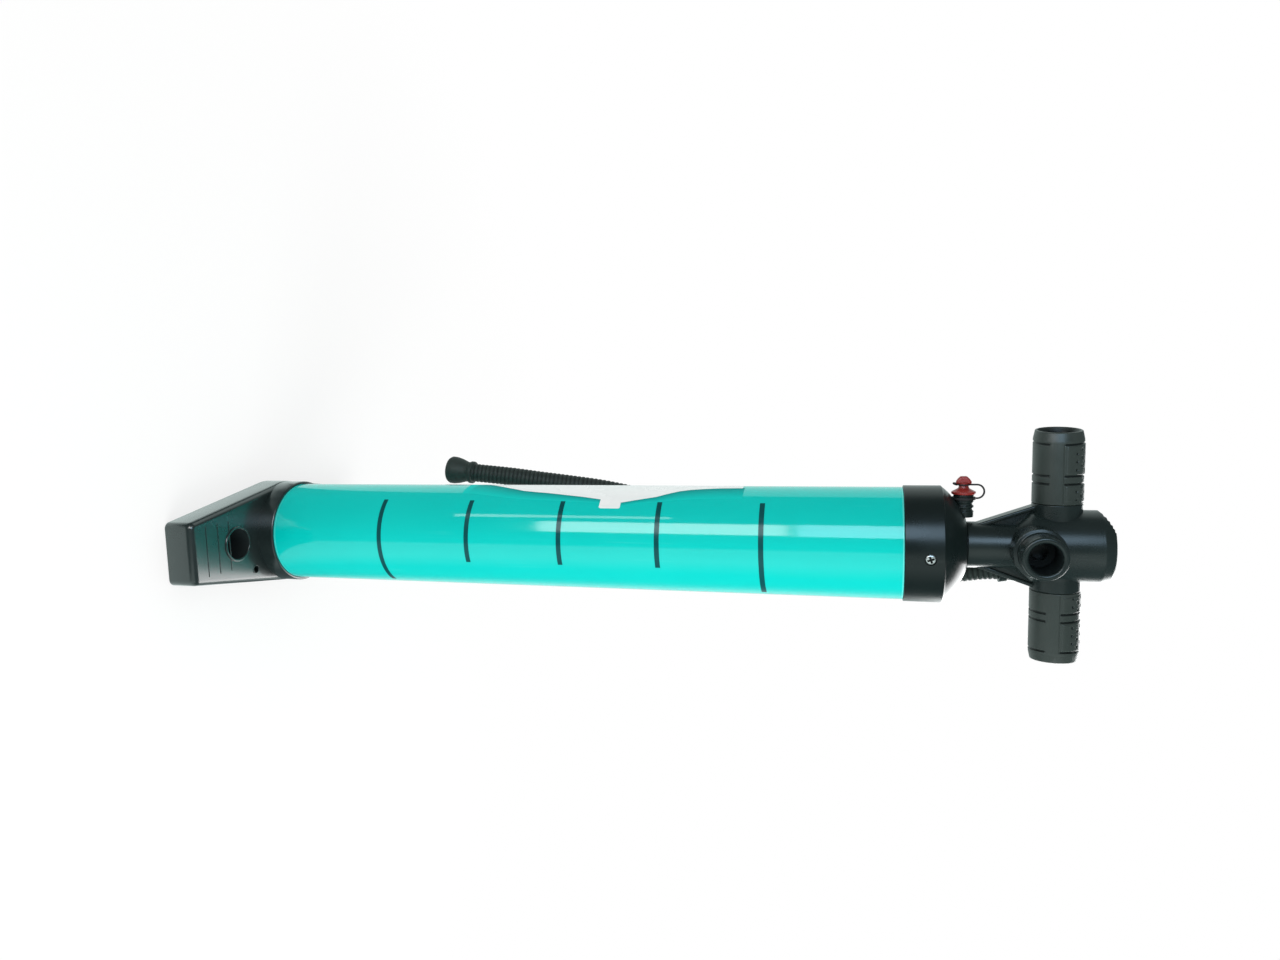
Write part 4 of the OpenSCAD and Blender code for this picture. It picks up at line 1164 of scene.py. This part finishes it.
def gripLift(settings, s, turn):
    perDegree = math.pi / 180 * settings["radius"]
    lift = 0.0
    first, last = settings["strip"]
    if not first < turn < last:
        fade = eased(min(abs(turn - first), abs(turn - last)) / settings["stripEase"])
        for mark in settings["grooves"]:
            cut = eased(settings["grooveEdge"] * (1 - abs(s - mark) / settings["grooveHalf"]))
            lift -= settings["grooveDepth"] * cut * fade
    centre, half, depth = settings["seam"]
    lift -= depth * eased(1 - abs(turn - centre) * perDegree / half)
    low, high = settings["padTurn"]
    bow = settings["padBow"] * (1 - ((turn - (low + high) / 2) / ((high - low) / 2)) ** 2)
    scale = settings["padScale"]
    pitch = settings["dotPitch"]
    for begin, end in settings["pads"]:
        edge = min(s - begin + bow, end - s + bow, (turn - low) * scale, (high - turn) * scale)
        lift += settings["padRise"] * eased(edge / settings["padEase"])
        if edge < settings["dotMargin"]:
            continue
        count = int((end - begin) / pitch + 0.5)
        for i, dotTurn in enumerate(settings["dotTurns"]):
            shift = 0.5 * (i % 2) - settings["dotShift"] - (count - 1) / 2
            for k in range(count):
                spot = (begin + end) / 2 + (k + shift) * pitch
                away = math.hypot(s - spot, (turn - dotTurn) * perDegree)
                lift -= settings["dotDepth"] * eased(settings["dotEdge"] * (1 - away / settings["dotRadius"]))
    return lift


def gripRows(settings):
    span, seat, mouth, lip = (settings[key] for key in ("span", "seat", "mouth", "lip"))
    skin = settings["radius"] - settings["skin"]
    path = roundedPath([
        (seat, 0.0, 0.1), (skin, 0.0, 0.5), (skin, span - settings["taper"], 9.0),
        (settings["radius"] - settings["narrower"], span, 1.0), (mouth + settings["mouthFlare"], span, 0.4),
        (mouth, span - settings["mouthDepth"], 0.3), (mouth, lip, 0.1), (seat, lip, 0.1),
    ], closed=True, steps=6)
    rows = []
    for i, point in enumerate(path):
        rows.append((point.x, point.y, False))
        after = path[(i + 1) % len(path)]
        if min(point.x, after.x) > skin - 0.01 and after.y - point.y > 10:  # the long plain stretch
            for k in range(1, settings["along"]):
                rows.append((skin, point.y + (after.y - point.y) * k / settings["along"], True))
    return rows


def makeGrip(name, settings, side):
    around, radius = settings["around"], settings["radius"]
    straight = settings["span"] - settings["taper"]
    rows = gripRows(settings)
    vertices = []
    for r, s, skin in rows:
        end = eased((s - settings["cutFrom"]) / (straight - settings["cutFrom"]))
        for k in range(around):
            turn = -180 + 360 * k / around
            lifted = r + (gripLift(settings, s, turn) if skin else 0.0)
            angle = math.radians(turn)
            lean = settings["cutEven"] + settings["cutLean"] * lifted * math.cos(angle) / radius
            place = side * (settings["inner"] + s - settings["cutBack"] * lean * end)
            vertices.append((place, -lifted * math.cos(angle), settings["z"] + lifted * math.sin(angle)))
    grip = makeObject(name, vertices, ringFaces(evenRings(len(rows), around), True))
    # Painted shade: the bore is dark, and the dimples, grooves and seam darken with their depth, through the 'fade'
    # attribute.
    shade = settings["shade"]

    def paintedPitShadeAt(place):
        deep = radius - shade["skin"] - math.hypot(place.y, place.z - settings["z"])
        s = side * place.x - settings["inner"]
        if deep > radius - settings["mouth"] - shade["bore"]:
            return 1.0
        if deep > shade["deepest"] or not shade["first"] < s < straight - shade["last"]:
            return 0.0
        return eased(deep / shade["full"])

    setShadeAndBlend(grip, paintedPitShadeAt)
    return grip


for side, name, node in ((-1, "gripLeft", "grip_left"), (1, "gripRight", "grip_right")):
    settle(makeGrip(name, gripSettings, side), "gripPlastic", "handle", "grip_plastic", node)

elbowSettings = {
    "aim": (26.0, 52.0, 0), "z": 560.1, "reach": (36.0, 40.0, 44.0), "bend": 10.0, "bendSteps": 12, "straight": 6.0,
    "mouth": 527.1, "radius": 8.0,
    "bead": [(6.0, 0), (5.4, 0.35), (4.6, 0.9), (1.0, 1.0), (0.3, 0.8), (0, 0.2)],  # above the mouth, wider by
    "flange": [
        (0, 40.1), (7.0, 40.1, 0.3), (11.5, 40.1, 0.7), (11.5, 43.0, 0.9), (8.4, 43.6, 0.8), (7.8, 45.0, 0.3),
        (0, 45.0),
    ],
}


def makeElbow(settings):
    aim = Vector(settings["aim"])
    ray = aim.normalized()
    z, bend, mouth = settings["z"], settings["bend"], settings["mouth"]
    start = aim.length - bend
    route = [ray * d + Vector((0, 0, z)) for d in (*settings["reach"], start)]
    for k in range(1, settings["bendSteps"] + 1):
        turn = math.pi / 2 * k / settings["bendSteps"]
        route.append(ray * (start + bend * math.sin(turn)) + Vector((0, 0, z - bend * (1 - math.cos(turn)))))
    radii = [settings["radius"]] * len(route)
    drops = [(z - bend - settings["straight"], 0)] + [(mouth + above, more) for above, more in settings["bead"]]
    for level, more in drops:
        route.append(aim + Vector((0, 0, level)))
        radii.append(settings["radius"] + more)
    pipe = sweep("elbowPipe", route, radii, around=64)
    ring = turned("elbowFlange", settings["flange"], axisFrame((0, 0, z), ray), segments=96, steps=5)
    return joined("hoseElbow", [pipe, ring])


settle(makeElbow(elbowSettings), "blackMoulded", "handle", "black_plastic", "hose_elbow")
print("handle, grips and elbow ready")

# Carried-over solids keep their shape and get their own finish
carried = {
    "rodAluminium": ["rod"],
    "screwSteel": ["piston_screws", "rod_collar"],
    "innerPlastic": ["rod_bush", "piston_head", "piston_cover", "delivery_tube", "hub_partition"],
    "sealRubber": ["base_gasket", "end_bumper", "cap_gasket", "rod_seal", "lower_cup", "upper_cup", "suction_flap",
                   "delivery_flap", "elbow_seal"],
}
for material, names in carried.items():
    for name in names:
        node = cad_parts[name]
        node.data.materials.clear()
        node.data.materials.append(materials[material])
print("carried-over nodes finished")

# Floor, world and lamps
stageSettings = {
    "floorHalf": 3000.0, "floorThick": 20.0, "floorColour": (0.92, 0.93, 0.92), "floorDip": 0.985, "floorRough": 0.9,
    "floorNoise": (3.0, 4.0), "floorLift": (0.72, 1.0), "liftSpan": (0.16, 0.62),
    "ambient": 0.92, "white": (1.0, 1.0, 1.0), "mirrored": (0.76, 0.89, 0.87), "shade": (0.09, 0.125, 0.13),
    "flags": [
        {"aim": (-0.788, -0.616, 0.0), "edge": (0.43, 0.48)},
        {"aim": (0.996, -0.087, 0.0), "edge": (0.72, 0.97)},
    ],
    "overhead": (0.44, 0.62), "nearFloor": (0.014, 0.021),
    "nearSpots": [
        (-0.012, -0.106, 0), (0.012, -0.106, 0), (-0.029, -0.080, 0), (-0.034, -0.058, 0), (-0.039, -0.036, 0),
        (-0.043, -0.014, 0), (-0.047, 0.008, 0),
    ],
    "lamps": [
        {"name": "keyLamp", "place": (1.1, -0.75, 0.75), "aim": (0, 0, 0.3), "size": (0.9, 1.1), "power": 12.0,
         "colour": (1, 1, 1), "diffuse": True},
        {"name": "longLamp", "place": (-0.260, -0.450, 0.197), "aim": (0, 0, 0.197), "size": (0.2, 0.314),
         "power": 1.2, "colour": (1, 1, 1), "diffuse": False},
        {"name": "thinLamp", "place": (-0.139, -0.119, 0.197), "aim": (-0.018, -0.03, 0.25), "size": (0.015, 0.18),
         "power": 0.03, "colour": (1, 1, 1), "diffuse": False},
        {"name": "tallLamp", "place": (-0.260, -0.450, 0.532), "aim": (0, 0, 0.532), "size": (0.22, 0.336),
         "power": 1.45, "colour": (0.55, 0.78, 1.0), "diffuse": False},
        {"name": "rimLamp", "place": (0.60, 0.85, 1.0), "aim": (0, 0, 0.5), "size": (1.0, 0.9), "power": 14.0,
         "colour": (1, 1, 1), "diffuse": False},
    ],
}


def flagMask(tree, direction, flags):
    level = vectorNode(tree, "NORMALIZE", vectorNode(tree, "MULTIPLY", direction, (1, 1, 0)))
    masks = []
    for flag in flags:
        aim = vectorNode(tree, "DOT_PRODUCT", level, Vector(flag["aim"]).normalized())
        masks.append(rampNode(tree, aim, flag["edge"]))
    return mathNode(tree, "MAXIMUM", *masks)


def roomColour(tree, mask, rays, settings):
    mirrored = mixColour(tree, mask, settings["mirrored"], settings["shade"])
    return mixColour(tree, rays["Is Camera Ray"], mirrored, settings["white"])


def makeFloor(settings):
    half = settings["floorHalf"]
    corners = [Vector((-half, -half)), Vector((half, -half)), Vector((half, half)), Vector((-half, half))]
    floor = prism("studioFloor", corners, [(0, -settings["floorThick"]), (0, 0.0)])
    material, tree, shader, place = newMaterial("studioFloor")
    base = settings["floorColour"]
    dipped = tuple(c * settings["floorDip"] for c in base)
    tone = mixColour(tree, noiseNode(tree, place, *settings["floorNoise"]), dipped, base)
    tree.links.new(tone, shader.inputs["Base Color"])
    shader.inputs["Roughness"].default_value = settings["floorRough"]
    shader.inputs["Specular IOR Level"].default_value = 0.0
    rays = tree.nodes.new("ShaderNodeLightPath").outputs
    mask = flagMask(tree, place, settings["flags"])
    for point in settings["nearSpots"]:
        near = rampNode(tree, vectorNode(tree, "DISTANCE", place, point), settings["nearFloor"])
        mask = mathNode(tree, "MULTIPLY", mask, near)
    glow = addNode(tree, "ShaderNodeEmission", Color=roomColour(tree, mask, rays, settings), Strength=1.0)[0]
    away = vectorNode(tree, "LENGTH", place)
    low, high = settings["floorLift"]
    lift = rampNode(tree, away, settings["liftSpan"], {"interpolation_type": "SMOOTHSTEP"}, To_Min=low, To_Max=high)
    mirror = mathNode(tree, "ADD", rays["Is Glossy Ray"], rays["Is Transmission Ray"])
    share = mathNode(tree, "MAXIMUM", mathNode(tree, "MULTIPLY", rays["Is Camera Ray"], lift), mirror)
    tree.links.new(mixShader(tree, share, shader.outputs[0], glow), tree.nodes["Material Output"].inputs["Surface"])
    floor.data.materials.append(material)


def makeWorld(settings):
    world = bpy.data.worlds.new("studioWorld")
    scene.world = world
    world.use_nodes = True
    tree = world.node_tree
    tree.nodes.clear()
    direction = tree.nodes.new("ShaderNodeTexCoord").outputs["Generated"]
    rays = tree.nodes.new("ShaderNodeLightPath").outputs
    above = rampNode(tree, addNode(tree, "ShaderNodeSeparateXYZ", Vector=direction)["Z"], settings["overhead"])
    mask = mathNode(tree, "MAXIMUM", flagMask(tree, direction, settings["flags"]), above)
    room = addNode(tree, "ShaderNodeBackground", Color=roomColour(tree, mask, rays, settings))[0]
    soft = addNode(tree, "ShaderNodeBackground", Color=(*settings["white"], 1.0), Strength=settings["ambient"])[0]
    seen = mathNode(tree, "ADD", rays["Is Camera Ray"], rays["Is Glossy Ray"])
    seen = mathNode(tree, "ADD", seen, rays["Is Transmission Ray"])
    leave = tree.nodes.new("ShaderNodeOutputWorld")
    tree.links.new(mixShader(tree, seen, soft, room), leave.inputs["Surface"])


def makeLamp(settings):
    data = bpy.data.lights.new(settings["name"], "AREA")
    data.shape = "RECTANGLE"
    data.size, data.size_y = settings["size"]
    data.energy = settings["power"]
    data.color = settings["colour"]
    lamp = linkObject(settings["name"], data)
    lamp.visible_camera = False
    lamp.visible_diffuse = settings["diffuse"]
    lamp.visible_glossy = not settings["diffuse"]
    back = (Vector(settings["place"]) - Vector(settings["aim"])).normalized()
    side = Vector(upwards).cross(back).normalized()
    lamp.matrix_world = placed(settings["place"], side, back.cross(side), back)


makeFloor(stageSettings)
makeWorld(stageSettings)
for lampSettings in stageSettings["lamps"]:
    makeLamp(lampSettings)
scene.view_settings.view_transform = "Standard"
print("stage ready")
